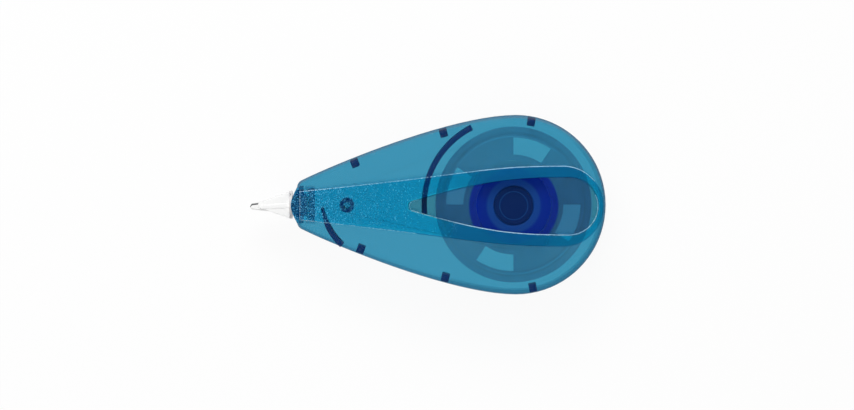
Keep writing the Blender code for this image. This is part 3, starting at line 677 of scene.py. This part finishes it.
def sliced(bm, places, normal):
    """Cuts faces along planes so that they can be bent."""
    for place in places:
        geometry = bm.verts[:] + bm.edges[:] + bm.faces[:]
        plane = Vector(normal) * place
        bmesh.ops.bisect_plane(bm, geom=geometry, dist=0.0002 * MM, plane_co=plane, plane_no=normal)
    return bm


def drop(x):
    """How far the face has come down on its way to the nose."""
    u = min(max((TAPER_START - x) / (TAPER_START - NOSE), 0.0), 1.2)
    return NOSE_DROP * (1.5 * u * u - 0.5 * u ** 3)


def tapered(bm):
    """Cuts a shape where its face comes down to the nose."""
    return sliced(bm, steps_between(TAPER_START, NOSE, 12), ALONG)


def follow_face(bm):
    """Lowers a layer on the face along its taper."""
    for vert in tapered(bm).verts:
        vert.co.z -= drop(vert.co.x)
    return bm


def carved(bm, tools, operation="DIFFERENCE"):
    """The solid after Booleans with other solids. Faces keep their material numbers."""
    solids = [placed("carving", as_mesh("carving", part, [None] * 4)) for part in [bm, *tools]]
    for tool in solids[1:]:
        modifier = solids[0].modifiers.new("carve", "BOOLEAN")
        modifier.operation = operation
        modifier.solver = "EXACT"
        modifier.object = tool
    result = bmesh.new()
    result.from_object(solids[0], bpy.context.evaluated_depsgraph_get())
    for made in solids:
        mesh = made.data
        bpy.data.objects.remove(made)
        bpy.data.meshes.remove(mesh)
    bmesh.ops.remove_doubles(result, verts=result.verts, dist=WELD)
    return result


def numbered(bm, number_given, test=None):
    """Gives every face, or those that pass a test, a material number."""
    for face in bm.faces:
        if test is None or test(face):
            face.material_index = number_given
    return bm


def out_from_axis(face):
    return face.calc_center_median().to_2d().length


def turned_over(bm):
    """Mirrors a front piece through the parting plane to make the back one."""
    bmesh.ops.scale(bm, vec=(1.0, 1.0, -1.0), verts=bm.verts)
    bmesh.ops.reverse_faces(bm, faces=bm.faces)
    return bm


def joined(parts):
    """One mesh from several separate bodies."""
    whole = bmesh.new()
    for part in parts:
        mesh = as_mesh("part", part)
        whole.from_mesh(mesh)
        bpy.data.meshes.remove(mesh)
    return whole


def finished(name, bm, finishes, body, node=None, smooth=35.0):
    """Turns a shape into a piece that rides on a body and may stand for a solid."""
    mesh = as_mesh(name, moved(facing_out(bm), AXIS), finishes)
    mesh.shade_smooth()
    mesh.set_sharp_from_angle(angle=math.radians(smooth))
    piece = placed(name, mesh)
    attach(piece, body)
    if node:
        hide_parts(node)


def dress(node, finish):
    """Gives a solid that stays in view its finish."""
    slots = frame["nodes"][node].data.materials
    slots.clear()
    slots.append(finish)


# Outlines: corners with their two handles, from the tail over the upper side to the nose and back

def at(x, y):
    return Vector((x, y))


def shortened(start, first, second, end, kept):
    """The first part of a cubic curve."""
    a, b, c = start.lerp(first, kept), first.lerp(second, kept), second.lerp(end, kept)
    ab = a.lerp(b, kept)
    return start, a, ab, ab.lerp(b.lerp(c, kept), kept)


def flipped(corners):
    """The lower half of a symmetric outline, from the corners of its upper half."""
    return [
        tuple(at(spot[0], -spot[1]) for spot in (place, after, before))
        for place, before, after in reversed(corners)
    ]


def crossing(x, reach):
    """Corner on the middle line, with handles that reach up or down."""
    return at(x, 0.0), at(x, -reach), at(x, reach)


def tail_corners(centre, half, lead):
    """Round end of an outline: its corner on the middle line and the one on its upper side."""
    reach = ARC_HANDLE * half
    side = (at(centre, half), at(centre + reach, half), at(centre - lead, half))
    return crossing(centre + half, reach), side


def side_curve(tail, nose, nose_half):
    """Cubic curve of the casing's side, from the top of the tail to the nose."""
    run = TAIL_CENTRE - nose
    lead = at(TAIL_CENTRE - 0.32 * run, tail)
    aim = at(TAIL_CENTRE - 0.94 * run, nose_half + 0.12 * (tail - nose_half))
    return at(TAIL_CENTRE, tail), lead, aim, at(nose, nose_half)


def casing_outline(tail, nose, nose_half):
    """Teardrop: a half circle at the tail, two long curves and a blunt nose."""
    top, lead, aim, end = shortened(*side_curve(tail, nose, nose_half), 0.93)
    along = (end - aim).normalized()
    turn = end + along * ((nose - end.x) / along.x)
    corner = at(nose, turn.y - 1.5 * MM)
    upper = [
        (top, top + at(ARC_HANDLE * tail, 0.0), lead),
        (end, aim, end.lerp(turn, 0.667)),
        (corner, corner.lerp(turn, 0.667), at(nose, corner.y / 3)),
    ]
    return [crossing(TAIL_CENTRE + tail, ARC_HANDLE * tail), *upper, *flipped(upper)]


def band_outline():
    """Outer line of the grip band."""
    half = GRIP_HIGH.y
    centre = GRIP_HIGH.x - half
    nose = GRIP_LOW.x
    nose_half = 3.6 * MM
    run = centre - nose
    tail, side = tail_corners(centre, half, 0.31 * run)
    aim = at(centre - 0.30 * run, nose_half + 0.74 * (half - nose_half))
    upper = [side, (at(nose, nose_half), aim, at(nose, nose_half / 3))]
    return [tail, *upper, *flipped(upper)]


def window_outline(wider):
    """Teardrop inside the band, moved out by a distance."""
    end = PANE_HIGH.x - PANE_LAP
    half = 7.1 * MM + wider
    centre = end + wider - half
    point = end - PANE_LENGTH - 1.4 * wider
    blunt = 1.05 * MM + 0.4 * wider
    run = centre - point - 0.5 * blunt
    tail, side = tail_corners(centre, half, 0.355 * run)
    aim = at(centre - 0.545 * run, 0.88 * half)
    upper = [side, (at(point + 0.5 * blunt, blunt), aim, at(point + 0.2 * blunt, 0.85 * blunt))]
    return [tail, *upper, crossing(point, -0.5 * blunt), *flipped(upper)]


# Casing

def casing_block(tail, nose, nose_half, low, high, radius, bulge):
    """Solid with the casing's outline, leaning sides, a rounded edge and a tapered face."""
    bm = raised(casing_outline(tail, nose, nose_half), low, high, 20)
    softened(bm, radius, 6, above(high))
    shoulder = high - radius
    tapered(sliced(bm, steps_between(0.0, shoulder, 5)[1:-1], UP))
    middle = (TAIL_CENTRE + tail + nose) / 2
    half_length = (TAIL_CENTRE + tail - nose) / 2
    for vert in bm.verts:
        rise = min(max(vert.co.z, 0.0) / shoulder, 1.0)
        lean = bulge * rise ** 2
        vert.co.z -= drop(vert.co.x) * rise
        vert.co.x = middle + (vert.co.x - middle) * (1 - lean / half_length)
        vert.co.y *= 1 - lean / tail
    return bm


def nose_collar():
    """Arched collar in front of the nose, with a rounded upper edge."""
    half = 4.4 * MM
    height = 4.2 * MM
    back = NOSE + 0.5 * MM
    corner = at(NOSE + 0.05 * MM, half)
    upper = [
        (at(back, half), at(back, 0.0), at(back - 0.2 * MM, half)),
        (corner, corner + at(0.2 * MM, 0.0), at(NOSE - 0.4 * MM, 3.4 * MM)),
    ]
    arch = crossing(SHELL_LOW.x, -1.75 * MM)
    bm = raised([*upper, arch, *flipped(upper)], 0.0, height, 12)
    return softened(bm, 0.6 * MM, 5, lambda place: above(height)(place) and place.x < back - SEAM)


def casing_half(settings, opening):
    """Hollow half of the casing. Materials: outside, inside, joint, nose."""
    top = SHELL_HIGH.z
    wall = settings.wall
    bulge = settings.bulge
    inner_nose = NOSE + settings.nose_wall
    inner_half = NOSE_HALF - 0.5 * MM
    outer = casing_block(TAIL_RADIUS, NOSE, NOSE_HALF, SEAM / 2, top, settings.edge_radius, bulge)
    hollow = casing_block(TAIL_RADIUS - wall, inner_nose, inner_half, -MM, top - wall, 0.5 * MM, bulge)
    outer = carved(outer, [nose_collar()], "UNION")
    way = Vector((0.0, 2.6 * MM, 3.6 * MM))
    bore = block(at(SHELL_LOW.x - MM, 0.0).to_3d() - way, at(inner_nose + 0.5 * MM, 0.0).to_3d() + way)
    tools = [numbered(hollow, 1), numbered(bore, 3)]
    if opening:
        tools.append(numbered(raised(window_outline(PANE_LAP + opening), top / 2, 2 * top), 1))
    half = carved(outer, tools)
    for face in half.faces:
        if all(vert.co.z < SEAM for vert in face.verts):
            face.material_index = 2
        elif face.normal.z > 0.9 and face.calc_center_median().x < NOSE + 0.6 * MM:
            face.material_index = 3
    return half


def upright_wall(corners, low, high, thickness):
    """Wall that stands along an open curve."""
    bm = bmesh.new()
    edges = curve_edges(bm, corners, closed=False, fineness=20)
    moved(bm, (0.0, 0.0, low))
    lifted(bm, bmesh.ops.extrude_edge_only(bm, edges=edges), high - low)
    facing_out(bm).normal_update()
    for vert in bm.verts:
        vert.co += vert.normal * thickness / 2
    bmesh.ops.solidify(bm, geom=bm.faces[:], thickness=thickness)
    return facing_out(bm)


def arc_corners(radius, start, end, count):
    """Open arc as corners with handles."""
    step = math.radians(end - start) / count
    reach = radius * 4 / 3 * math.tan(step / 4)
    corners = []
    for index in range(count + 1):
        angle = math.radians(start) + index * step
        place = at(math.cos(angle), math.sin(angle)) * radius
        along = at(-math.sin(angle), math.cos(angle)) * reach
        corners.append((place, place - along, place + along))
    return corners


def under_face(settings):
    """Height of the inner side of the face before its taper."""
    return SHELL_HIGH.z - settings.wall - SEAM


def guard_rib(settings):
    """Long curved rib that closes off the reel chamber."""
    arc = arc_corners(RIB_RADIUS, *RIB_ANGLES, 4)
    bm = moved(upright_wall(arc, 0.1 * MM, under_face(settings), RIB_THICKNESS), RIB_CENTRE)
    return follow_face(softened(bm, 0.08 * MM, 2))


def guide_finger(settings):
    """Short curved rib that guides the tape behind the nose, thinner at its upper end."""
    across = (FINGER_END - FINGER_START).normalized()
    middle = (FINGER_START + FINGER_END) / 2 + at(across.y, -across.x) * 1.8 * MM
    corners = [
        (FINGER_START, FINGER_START, FINGER_START.lerp(middle, 0.667)),
        (FINGER_END, FINGER_END.lerp(middle, 0.667), FINGER_END),
    ]
    bm = softened(upright_wall(corners, -2.4 * MM, under_face(settings), RIB_THICKNESS), 0.12 * MM)
    thin_length = 0.55 * (FINGER_START.y - FINGER_END.y)
    for vert in bm.verts:
        down = min((FINGER_START.y - vert.co.y) / thin_length, 1.0)
        line_x = FINGER_START.x + 2.0 * MM * down
        vert.co.x = line_x + (vert.co.x - line_x) * (0.5 + 0.5 * max(down, 0.0))
        if vert.co.z > 0:
            vert.co.z -= drop(vert.co.x)
    return bm


def locating_post(settings):
    """Ring post with the pin of the back half in it. Materials: post, pin."""
    top = under_face(settings) - drop(POST_PLACE) - 0.1 * MM
    post = ring(0.8 * MM, 1.8 * MM, 0.05 * MM, top, 48)
    pin = ring(0.0, 0.7 * MM, -top, top - MM, 48)
    for part in (post, pin):
        softened(part, 0.1 * MM)
    return moved(joined([post, numbered(pin, 1)]), (POST_PLACE, 0.0, 0.0))


def side_at(x):
    """Place on the casing's side and the direction out of it, found by halving."""
    if x >= TAIL_CENTRE:
        out = x - TAIL_CENTRE
        away = at(out, math.sqrt(TAIL_RADIUS * TAIL_RADIUS - out * out))
        return at(x, away.y), away.normalized()
    line = side_curve(TAIL_RADIUS, NOSE, NOSE_HALF)
    low, high = 0.0, 1.0
    for _ in range(40):
        middle = (low + high) / 2
        spot = shortened(*line, middle)[3]
        low, high = (middle, high) if spot.x > x else (low, middle)
    parts = shortened(*line, low)
    along = (parts[3] - parts[2]).normalized()
    return parts[3], at(along.y, -along.x)


def snap_tabs():
    """Six catches along the sides that hold the halves together."""
    inset = 1.3 * MM
    tabs = []
    for x, sign in [(x, 1) for x in UPPER_TABS] + [(x, -1) for x in LOWER_TABS]:
        spot, outward = side_at(x)
        bm = block((-0.95 * MM, -1.0 * MM, -3.0 * MM), (0.95 * MM, 1.0 * MM, 3.4 * MM))
        softened(bm, 0.18 * MM)
        turn = math.atan2(sign * outward.y, outward.x) - math.pi / 2
        bmesh.ops.rotate(bm, cent=(0, 0, 0), matrix=Matrix.Rotation(turn, 3, "Z"), verts=bm.verts)
        centre = spot - outward * inset
        tabs.append(moved(bm, (centre.x, sign * centre.y, 0.0)))
    return joined(tabs)


def nose_pads():
    """Thick parts of the nose wall on both sides of the tip, with small pins. Materials: pads, pins."""
    high = 4.0 * MM
    pads = both_sides((NOSE - 0.3 * MM, 2.62 * MM, -high), (NOSE + 1.65 * MM, 3.5 * MM, high))
    pins = both_sides((NOSE + 0.5 * MM, 3.75 * MM, -high), (NOSE + 1.6 * MM, 4.5 * MM, high))
    return joined(pads + [numbered(pin, 1) for pin in pins])


def tip_keeper(settings):
    """Wall and rails that hold the tip's plate in the nose of each half. Materials: wall, rails."""
    roof = SHELL_HIGH.z - settings.wall - drop(KEEPER_FRONT) - 0.12 * MM
    floor = 0.05 * MM
    rails = both_sides((NOSE + 2.1 * MM, 4.0 * MM, floor), (KEEPER_BACK, 4.6 * MM, roof - 0.4 * MM))
    walls = both_sides((KEEPER_FRONT, 2.9 * MM, floor), (KEEPER_BACK, 3.98 * MM, roof))
    bridge = block((KEEPER_FRONT, -2.88 * MM, 2.5 * MM), (KEEPER_BACK, 2.88 * MM, roof))
    parts = [numbered(rail, 1) for rail in rails] + walls + [bridge]
    return joined([softened(part, 0.06 * MM, 2) for part in parts])


def reel_axle():
    """Hollow axle on a round foot."""
    bore, radius, foot = 2.0 * MM, 3.1 * MM, 4.45 * MM
    low, step, top = -5.75 * MM, -5.6 * MM, 4.75 * MM
    return spun([(bore, low), (foot, low), (foot, step), (radius, step), (radius, top), (bore, top)], 64)


class CasingOperator(bpy.types.Operator):
    """Builds the two hollow halves of the casing and their ribs"""

    bl_idname = "correction_tape.casing"
    bl_label = "Casing"

    def execute(self, context):
        settings = context.scene.tape_casing
        finishes = [
            casing_plastic(settings),
            inside_face("casing_inside", (0.995, 0.998, 1.0), 0.03),
            joint_face(settings),
            nose_face(settings, context.scene.tape_grips),
        ]
        front = casing_half(settings, context.scene.tape_window.gap)
        finished("front_casing", front, finishes, "casing", "front_shell")
        back = turned_over(casing_half(settings, 0.0))
        finished("back_casing", back, finishes, "casing", "back_shell")

        ribs = rib_plastic(settings)
        pin = inside_face("post_pin", (0.98, 0.75, 0.78), 0.06)
        pins = inside_face("nose_pins", (0.47, 0.62, 0.72), 0.06)
        walls = inside_face("keeper_wall", (0.82, 0.79, 0.85), 0.1)
        rails = inside_face("keeper_rail", (0.9, 0.95, 0.97), 0.1)
        mouldings = {
            "guard_rib": (guard_rib(settings), [ribs]),
            "guide_finger": (guide_finger(settings), [ribs]),
            "locating_post": (locating_post(settings), [ribs, pin]),
            "snap_tabs": (snap_tabs(), [ribs]),
            "nose_pads": (nose_pads(), [finishes[3], pins]),
            "front_tip_keeper": (tip_keeper(settings), [walls, rails]),
            "back_tip_keeper": (turned_over(tip_keeper(settings)), [walls, rails]),
            "reel_axle": (reel_axle(), [ribs]),
        }
        for name, (shape, looks) in mouldings.items():
            finished(name, shape, looks, "casing")
        return {"FINISHED"}


# Grip bands and window

def grip_band(settings):
    """Raised band with a rounded edge. Materials: face, edge with glitter and a painted highlight,
    underside, edge with a painted shade.
    """
    low = SHELL_HIGH.z + 0.05 * MM
    high = GRIP_HIGH.z
    hole = raised(window_outline(0.0), low - MM, high + MM, 32)
    band = carved(raised(band_outline(), low, high, 32), [hole])
    softened(band, settings.edge_radius, 5, above(high))
    # Painted light: edges that face the key light, and the side edges at the nose, get the bright edge
    # finish as a painted highlight, and the other upper edges get a painted shade.
    for face in band.faces:
        towards_key = 0.85 * face.normal.y - 0.5 * face.normal.x
        at_nose = face.calc_center_median().x < -24 * MM
        if face.normal.z < -0.9:
            face.material_index = 2
        elif face.normal.z > 0.98 or (at_nose and face.normal.x < -0.8):
            face.material_index = 0
        elif towards_key > 0.1 or at_nose:
            face.material_index = 1
        elif face.normal.z > 0.1:
            face.material_index = 3
    return follow_face(band)


class GripOperator(bpy.types.Operator):
    """Builds the raised grip band on each face"""

    bl_idname = "correction_tape.grips"
    bl_label = "Grip Bands"

    def execute(self, context):
        settings = context.scene.tape_grips
        on_face = (settings.flake, [settings.flake_colour] * 2)
        on_highlit_edge = (settings.edge_flake, [settings.low_edge_glitter_and_highlight, settings.edge_glitter_and_highlight])
        finishes = [
            grip_rubber(settings, "grip_rubber", *on_face, settings.tint, 1.0, **FACE_GLITTER),
            # The second finish is glitter with a painted highlight and the fourth a painted shade, for edges
            # that face towards and away from the key light.
            grip_rubber(settings, "grip_painted_highlight_edge", *on_highlit_edge, settings.tint, 1.0, **GLITTER_AND_HIGHLIGHT_ON_EDGE),
            inside_face("grip_underside", (0.99, 0.995, 1.0), 0.04),
            inside_face("grip_painted_shade_edge", (0.16, 0.52, 0.7), 0.12),
        ]
        pale = grip_rubber(settings, "grip_back_rubber", *on_face, settings.back_tint, 0.0, **FACE_GLITTER)
        finished("front_band", grip_band(settings), finishes, "casing", "front_grip", 50.0)
        back = turned_over(grip_band(settings))
        finished("back_band", back, [pale, pale, finishes[2], pale], "casing", "back_grip", 50.0)
        return {"FINISHED"}


class WindowOperator(bpy.types.Operator):
    """Builds the smoky pane inside the front band"""

    bl_idname = "correction_tape.window"
    bl_label = "Window"

    def execute(self, context):
        low = SHELL_HIGH.z - context.scene.tape_casing.wall
        high = PANE_HIGH.z
        pane = raised(window_outline(PANE_LAP), low, high, 24)
        numbered(pane, 1, lambda face: face.normal.z < 0.5)
        softened(pane, 0.12 * MM, 3, above(high))
        inside = inside_face("window_inside", (0.99, 0.995, 1.0), 0.03)
        finishes = [window_plastic(context.scene.tape_window), inside]
        finished("window_pane", follow_face(pane), finishes, "casing", "front_window")
        return {"FINISHED"}


# Tip and tape

def taper_outline(start, end, half_start, half_end):
    """Straight taper with a round front end."""
    reach = ARC_HANDLE * half_end
    root = at(start, half_start)
    shoulder = at(end + half_end, half_end)
    upper = [
        (root, at(start, half_start / 3), root.lerp(shoulder, 0.33)),
        (shoulder, shoulder.lerp(root, 0.33), shoulder - at(reach, 0.0)),
    ]
    return [*upper, crossing(end, -reach), *flipped(upper)]


def lowered(bm):
    """Moves the blade end to the side on which it sits in the tip."""
    for vert in bm.verts:
        share_moved = min(max((BASE_FRONT - vert.co.x) / (BASE_FRONT - CHEEK_END), 0.0), 1.0)
        vert.co.y -= BLADE_SHIFT * share_moved * (2.0 - share_moved)
    return bm


def tip_base(radius):
    """Round base with the tape way through it."""
    foot = 3.5 * MM
    profile = [(BASE_BACK, 0.0), (BASE_BACK, foot), (BASE_FRONT, foot), (BASE_FRONT, 0.0)]
    base = facing_out(revolved([(x, out, 0.0) for x, out in profile], 64, ALONG))
    way = block((BASE_FRONT - MM, -2.3 * MM, -2.2 * MM), (BASE_BACK + MM, 2.3 * MM, 2.2 * MM))
    return softened(carved(base, [way]), radius)


def tip_cheek(radius):
    """Flat cheek on the front side of the tongue, the rib on it and the wall that carries it."""
    low = 2.2 * MM
    high = 2.75 * MM
    start = BASE_FRONT + 0.2 * MM
    cheek = raised(taper_outline(start, CHEEK_END, 3.42 * MM, 0.72 * MM), low, high, 12)
    rib_line = taper_outline(start, CHEEK_END + 0.5 * MM, 0.66 * MM, 0.5 * MM)
    rib = raised(rib_line, 2.5 * MM, 2.86 * MM, 10)
    sliced(rib, steps_between(BASE_FRONT, CHEEK_END, 8)[1:-1], ALONG)
    wall = block((BASE_BACK - 0.2 * MM, -1.9 * MM, low), (PLATE_BACK, 1.9 * MM, high))
    return [softened(cheek, radius), lowered(softened(rib, radius)), wall]


def tip_tongue():
    """Tongue that carries the tape to the blade at its end."""
    high = 2.47 * MM
    root = at(BASE_BACK + 4.2 * MM, 0.5 * MM)
    waist = at(BASE_FRONT, TONGUE_HALF)
    point = at(TIP_LOW.x + BLADE_HALF, BLADE_HALF)
    reach = ARC_HANDLE * BLADE_HALF
    upper = [
        (root, at(root.x, 0.2 * MM), waist + at(MM, 0.0)),
        (waist, waist + at(MM, 0.0), waist - at(MM, 0.08 * TONGUE_HALF)),
        (point, point + at(2.6 * MM, 0.33 * MM), point - at(reach, 0.0)),
    ]
    return lowered(raised([*upper, crossing(TIP_LOW.x, -reach), *flipped(upper)], -high, high, 12))


def applicator_tip(settings):
    """Base, two ribbed cheeks, a plate in two halves and a tongue."""
    radius = settings.edge_radius
    cheeks = tip_cheek(radius) + [turned_over(part) for part in tip_cheek(radius)]
    plates = both_sides((PLATE_FRONT, 2.32 * MM, -2.9 * MM), (PLATE_BACK, 3.7 * MM, 2.9 * MM))
    return joined([tip_base(radius), *cheeks, *plates, tip_tongue()])


def tape_loop(settings):
    """Tape along the tongue, round the blade's end and back."""
    gap = 0.14 * MM
    end = LOOP_LOW.x + settings.film / 2
    half = BLADE_HALF + gap
    reach = ARC_HANDLE * half
    back = at(LOOP_HIGH.x, 0.45 * MM + gap)
    base = at(BASE_FRONT, TONGUE_HALF + gap)
    tip = at(end + half, half)
    upper = [
        (back, back, back.lerp(base, 0.33)),
        (base, base.lerp(back, 0.25), base.lerp(tip, 0.33) + at(0.0, 0.02 * MM)),
        (tip, tip.lerp(base, 0.33), tip - at(reach, 0.0)),
    ]
    corners = [*upper, crossing(end, -reach), *flipped(upper)]
    return lowered(upright_wall(corners, LOOP_LOW.z, LOOP_HIGH.z, settings.film))


class TipOperator(bpy.types.Operator):
    """Builds the blade tip and the tape on it, and finishes the free runs of tape"""

    bl_idname = "correction_tape.tip"
    bl_label = "Tip and Tape"

    def execute(self, context):
        settings = context.scene.tape_tip
        tip = applicator_tip(settings)
        finished("blade_tip", tip, [tip_plastic(settings)], "casing", "applicator_tip")
        finished("tape_loop", tape_loop(settings), [tip_film(settings)], "casing", "tip_tape")
        dress("supply_tape", clear_film("white_tape", (0.8, 0.82, 0.8), 0.12))
        dress("return_film", clear_film("spent_film", (0.5, 0.6, 0.65), 0.04))
        return {"FINISHED"}


# Reels

def takeup_drum(settings):
    """Slotted disc with a hub and a drum wall below it. Materials: disc, walls."""
    top = DRUM_HIGH.z
    low = top - DISC_THICKNESS
    hub = (REEL_BORE, 4.48 * MM)
    slots = (12.5 * MM, 16.8 * MM)
    wall = (16.9 * MM, 17.6 * MM)
    bm = revolved([(out, 0.0, low) for out in (*hub, *slots, *wall, DRUM_HIGH.y)], closed=False)
    cut = []
    for face in bm.faces:
        centre = face.calc_center_median()
        turn = -math.atan2(centre.y, centre.x) % (math.pi / 2)
        if slots[0] < out_from_axis(face) < slots[1] and turn < settings.slot_angle:
            cut.append(face)
    bmesh.ops.delete(bm, geom=cut, context="FACES")
    lifted(bm, bmesh.ops.extrude_face_region(bm, geom=bm.faces[:]), top - low)
    facing_out(bm)
    for (inner, outer), depth in ((hub, DRUM_LOW.z), (wall, DRUM_LOW.z + DISC_THICKNESS)):
        under = [f for f in bm.faces if f.normal.z < -0.9 and inner < out_from_axis(f) < outer]
        lifted(bm, bmesh.ops.extrude_face_region(bm, geom=under), depth - low)
        bmesh.ops.delete(bm, geom=under, context="FACES_ONLY")
    for face in bm.faces:
        if face.calc_center_median().z < low - SEAM and abs(face.normal.z) < 0.5:
            face.material_index = 1
    return bm


def reel_hub():
    """Hub with a recess in its front end for the cap."""
    recess = 4.85 * MM
    floor = HUB_HIGH.z - MM
    return spun([
        (REEL_BORE, HUB_LOW.z), (HUB_HIGH.y, HUB_LOW.z), (HUB_HIGH.y, HUB_HIGH.z),
        (recess, HUB_HIGH.z), (recess, floor), (REEL_BORE, floor),
    ])


def cap_button():
    """Round cap on a pin, with a thin groove. Materials: cap, groove."""
    pin = 1.9 * MM
    under = 4.85 * MM
    top = CAP_HIGH.z
    groove = 3.5 * MM
    outer_half = 0.15 * MM
    depth = inner_half = 0.1 * MM
    cap = spun([
        (0.0, CAP_LOW.z), (pin, CAP_LOW.z), (pin, under), (CAP_HIGH.y, under),
        (CAP_HIGH.y, top), (groove + outer_half, top), (groove + inner_half, top - depth),
        (groove - inner_half, top - depth), (groove - outer_half, top), (0.0, top),
    ])
    return numbered(cap, 1, lambda face: abs(out_from_axis(face) - groove) < 0.14 * MM)


class ReelOperator(bpy.types.Operator):
    """Builds the take-up reel, the supply reel and the axle cap, and finishes the clutch"""

    bl_idname = "correction_tape.reels"
    bl_label = "Reels"

    def execute(self, context):
        settings = context.scene.tape_reels
        radius = settings.edge_radius
        smoke = smoky_plastic("drum_plastic", settings.drum_tint, 0.2)
        pale = smoky_plastic("drum_wall", (0.995, 0.998, 1.0), 0.01)
        turns = clear_film("spent_turns", (0.5, 0.6, 0.65), 0.1)
        drum = takeup_drum(settings)
        finished("slotted_drum", drum, [smoke, pale], "takeup_reel", "takeup_drum")
        back = ring_like("takeup_flange", 16.3 * MM)
        finished("back_flange", back, [pale], "takeup_reel", "takeup_flange")
        spent = ring_like("takeup_film", 17.65 * MM)
        finished("spent_turns", spent, [turns], "takeup_reel", "takeup_film")

        disc = softened(ring_like("supply_flange", 5.0 * MM), radius)
        royal = flange_plastic(settings)
        finished("royal_flange", disc, [royal], "supply_reel", "supply_flange")
        violet = turned_plastic("hub_plastic", settings.hub_colour, 0.4)
        finished("reel_hub", softened(reel_hub(), radius), [violet], "supply_reel", "supply_hub")
        core = softened(ring_like("tape_core", 6.35 * MM), radius, 2)
        finished("roll_core", core, [violet], "supply_reel", "tape_core")
        roll = numbered(ring_like("tape_pack", 7.45 * MM), 1, lambda face: abs(face.normal.z) > 0.5)
        wound = smoky_plastic("wound_tape", (1.0, 1.0, 0.99), 0.25, settings.tape_colour)
        ends = smoky_plastic("wound_tape_ends", (1.0, 1.0, 0.99), 0.012, settings.tape_colour)
        finished("tape_roll", roll, [wound, ends], "supply_reel", "tape_pack")

        navy = turned_plastic("cap_plastic", settings.cap_colour, 0.4)
        # The groove is painted paler than the cap.
        paler_groove = turned_plastic("cap_groove", settings.groove_colour, 0.3)
        finished("cap_button", cap_button(), [navy, paler_groove], "casing", "axle_cap")
        dress("clutch_ring", moulded_plastic("clutch_rubber", (0.03, 0.03, 0.032), 0.75))
        dress("clutch_spring", spring_steel())
        return {"FINISHED"}


# Stage

def area_lamp(name, place, aim, size, power):
    data = bpy.data.lights.new(name, "AREA")
    data.shape = "RECTANGLE"
    data.size, data.size_y = size
    data.energy = power
    lamp = placed(name, data)
    lamp.location = place
    lamp.rotation_euler = (Vector(aim) - Vector(place)).to_track_quat("-Z", "Y").to_euler()
    lamp.visible_camera = False


def seen_directly(finish):
    """1 for rays from the camera, reflections and glass, 0 for light on the object."""
    camera, glossy, glass = (finish.ray(kind) for kind in ("Camera", "Glossy", "Transmission"))
    return finish.maths("ADD", camera + glossy, glass, use_clamp=True)


class StageOperator(bpy.types.Operator):
    """Sets up the camera, the pale floor, the white surroundings and the soft lights"""

    bl_idname = "correction_tape.stage"
    bl_label = "Stage"

    def execute(self, context):
        settings = context.scene.tape_stage
        scene = context.scene
        scene.view_settings.view_transform = "Standard"
        scene.cycles.transparent_max_bounces = 32

        data = bpy.data.cameras.new("view_from_above")
        data.lens = settings.lens
        data.clip_end = 20.0
        camera = placed("view_from_above", data)
        distance = settings.picture_width * settings.lens / data.sensor_width
        slant = math.radians(settings.slant)
        middle_x = -0.25 * MM
        middle_y = -0.1 * MM
        side = middle_y + distance * math.sin(slant)
        camera.location = (middle_x, side, AXIS.z + distance * math.cos(slant))
        camera.rotation_euler = (-slant, 0.0, 0.0)
        scene.camera = camera

        bm = bmesh.new()
        just_below = Matrix.Translation((0.0, 0.0, -SEAM))
        bmesh.ops.create_grid(bm, x_segments=1, y_segments=1, size=4.0, matrix=just_below)
        paper = material("floor_paper")
        grain = paper.noise(0.4, 2.0)
        sheet = paper.body(paper.blend(grain, (0.9, 0.9, 0.9), (0.93, 0.93, 0.93)), 0.9)
        white = paper.node("Emission", {"Color": (1.0, 1.0, 1.0, 1.0), "Strength": 1.0})
        shown = paper.shown(paper.mix(0.92 * seen_directly(paper), sheet, white))
        floor = placed("floor", as_mesh("floor", bm, [shown]))

        sky = Finish(bpy.data.worlds.new("white_surroundings"))
        soft, bright = (
            sky.node("Background", {"Color": (1.0, 1.0, 1.0, 1.0), "Strength": strength})
            for strength in (settings.ambient, 1.0)
        )
        sky.node("OutputWorld", {"Surface": sky.mix(seen_directly(sky), soft, bright)})
        scene.world = sky.holder

        aim = AXIS + Vector((-0.02, 0.0, 0.0))
        area_lamp("key_light", (-0.08, 0.5, 0.42), aim, (0.5, 0.3), settings.key_power)
        area_lamp("soft_light", (-0.25, -0.15, 0.95), aim, (0.8, 0.8), settings.fill_power)
        area_lamp("low_light", (-0.2, -0.55, 0.4), aim, (0.6, 0.4), settings.low_power)
        return {"FINISHED"}


class TapePanel(bpy.types.Panel):
    """Lists the steps that build the dispenser"""

    bl_idname = "VIEW3D_PT_correction_tape"
    bl_label = "Correction Tape"
    bl_space_type = "VIEW_3D"
    bl_region_type = "UI"
    bl_category = "Correction Tape"

    def draw(self, context):
        for holder, _, operator in STEPS:
            box = self.layout.box()
            box.operator(operator.bl_idname)
            group = getattr(context.scene, holder)
            for name in group.bl_rna.properties.keys():
                if name not in ("rna_type", "name"):
                    box.prop(group, name)


STEPS = (
    ("tape_casing", CasingSettings, CasingOperator),
    ("tape_grips", GripSettings, GripOperator),
    ("tape_window", WindowSettings, WindowOperator),
    ("tape_tip", TipSettings, TipOperator),
    ("tape_reels", ReelSettings, ReelOperator),
    ("tape_stage", StageSettings, StageOperator),
)


def register():
    for holder, group, operator in STEPS:
        bpy.utils.register_class(group)
        setattr(bpy.types.Scene, holder, bpy.props.PointerProperty(type=group))
        bpy.utils.register_class(operator)
    bpy.utils.register_class(TapePanel)


def unregister():
    bpy.utils.unregister_class(TapePanel)
    for holder, group, operator in reversed(STEPS):
        bpy.utils.unregister_class(operator)
        delattr(bpy.types.Scene, holder)
        bpy.utils.unregister_class(group)


def main():
    register()
    bpy.ops.correction_tape.casing()
    bpy.ops.correction_tape.grips()
    bpy.ops.correction_tape.window()
    bpy.ops.correction_tape.tip()
    bpy.ops.correction_tape.reels()
    bpy.ops.correction_tape.stage()


if __name__ == "__main__":
    main()
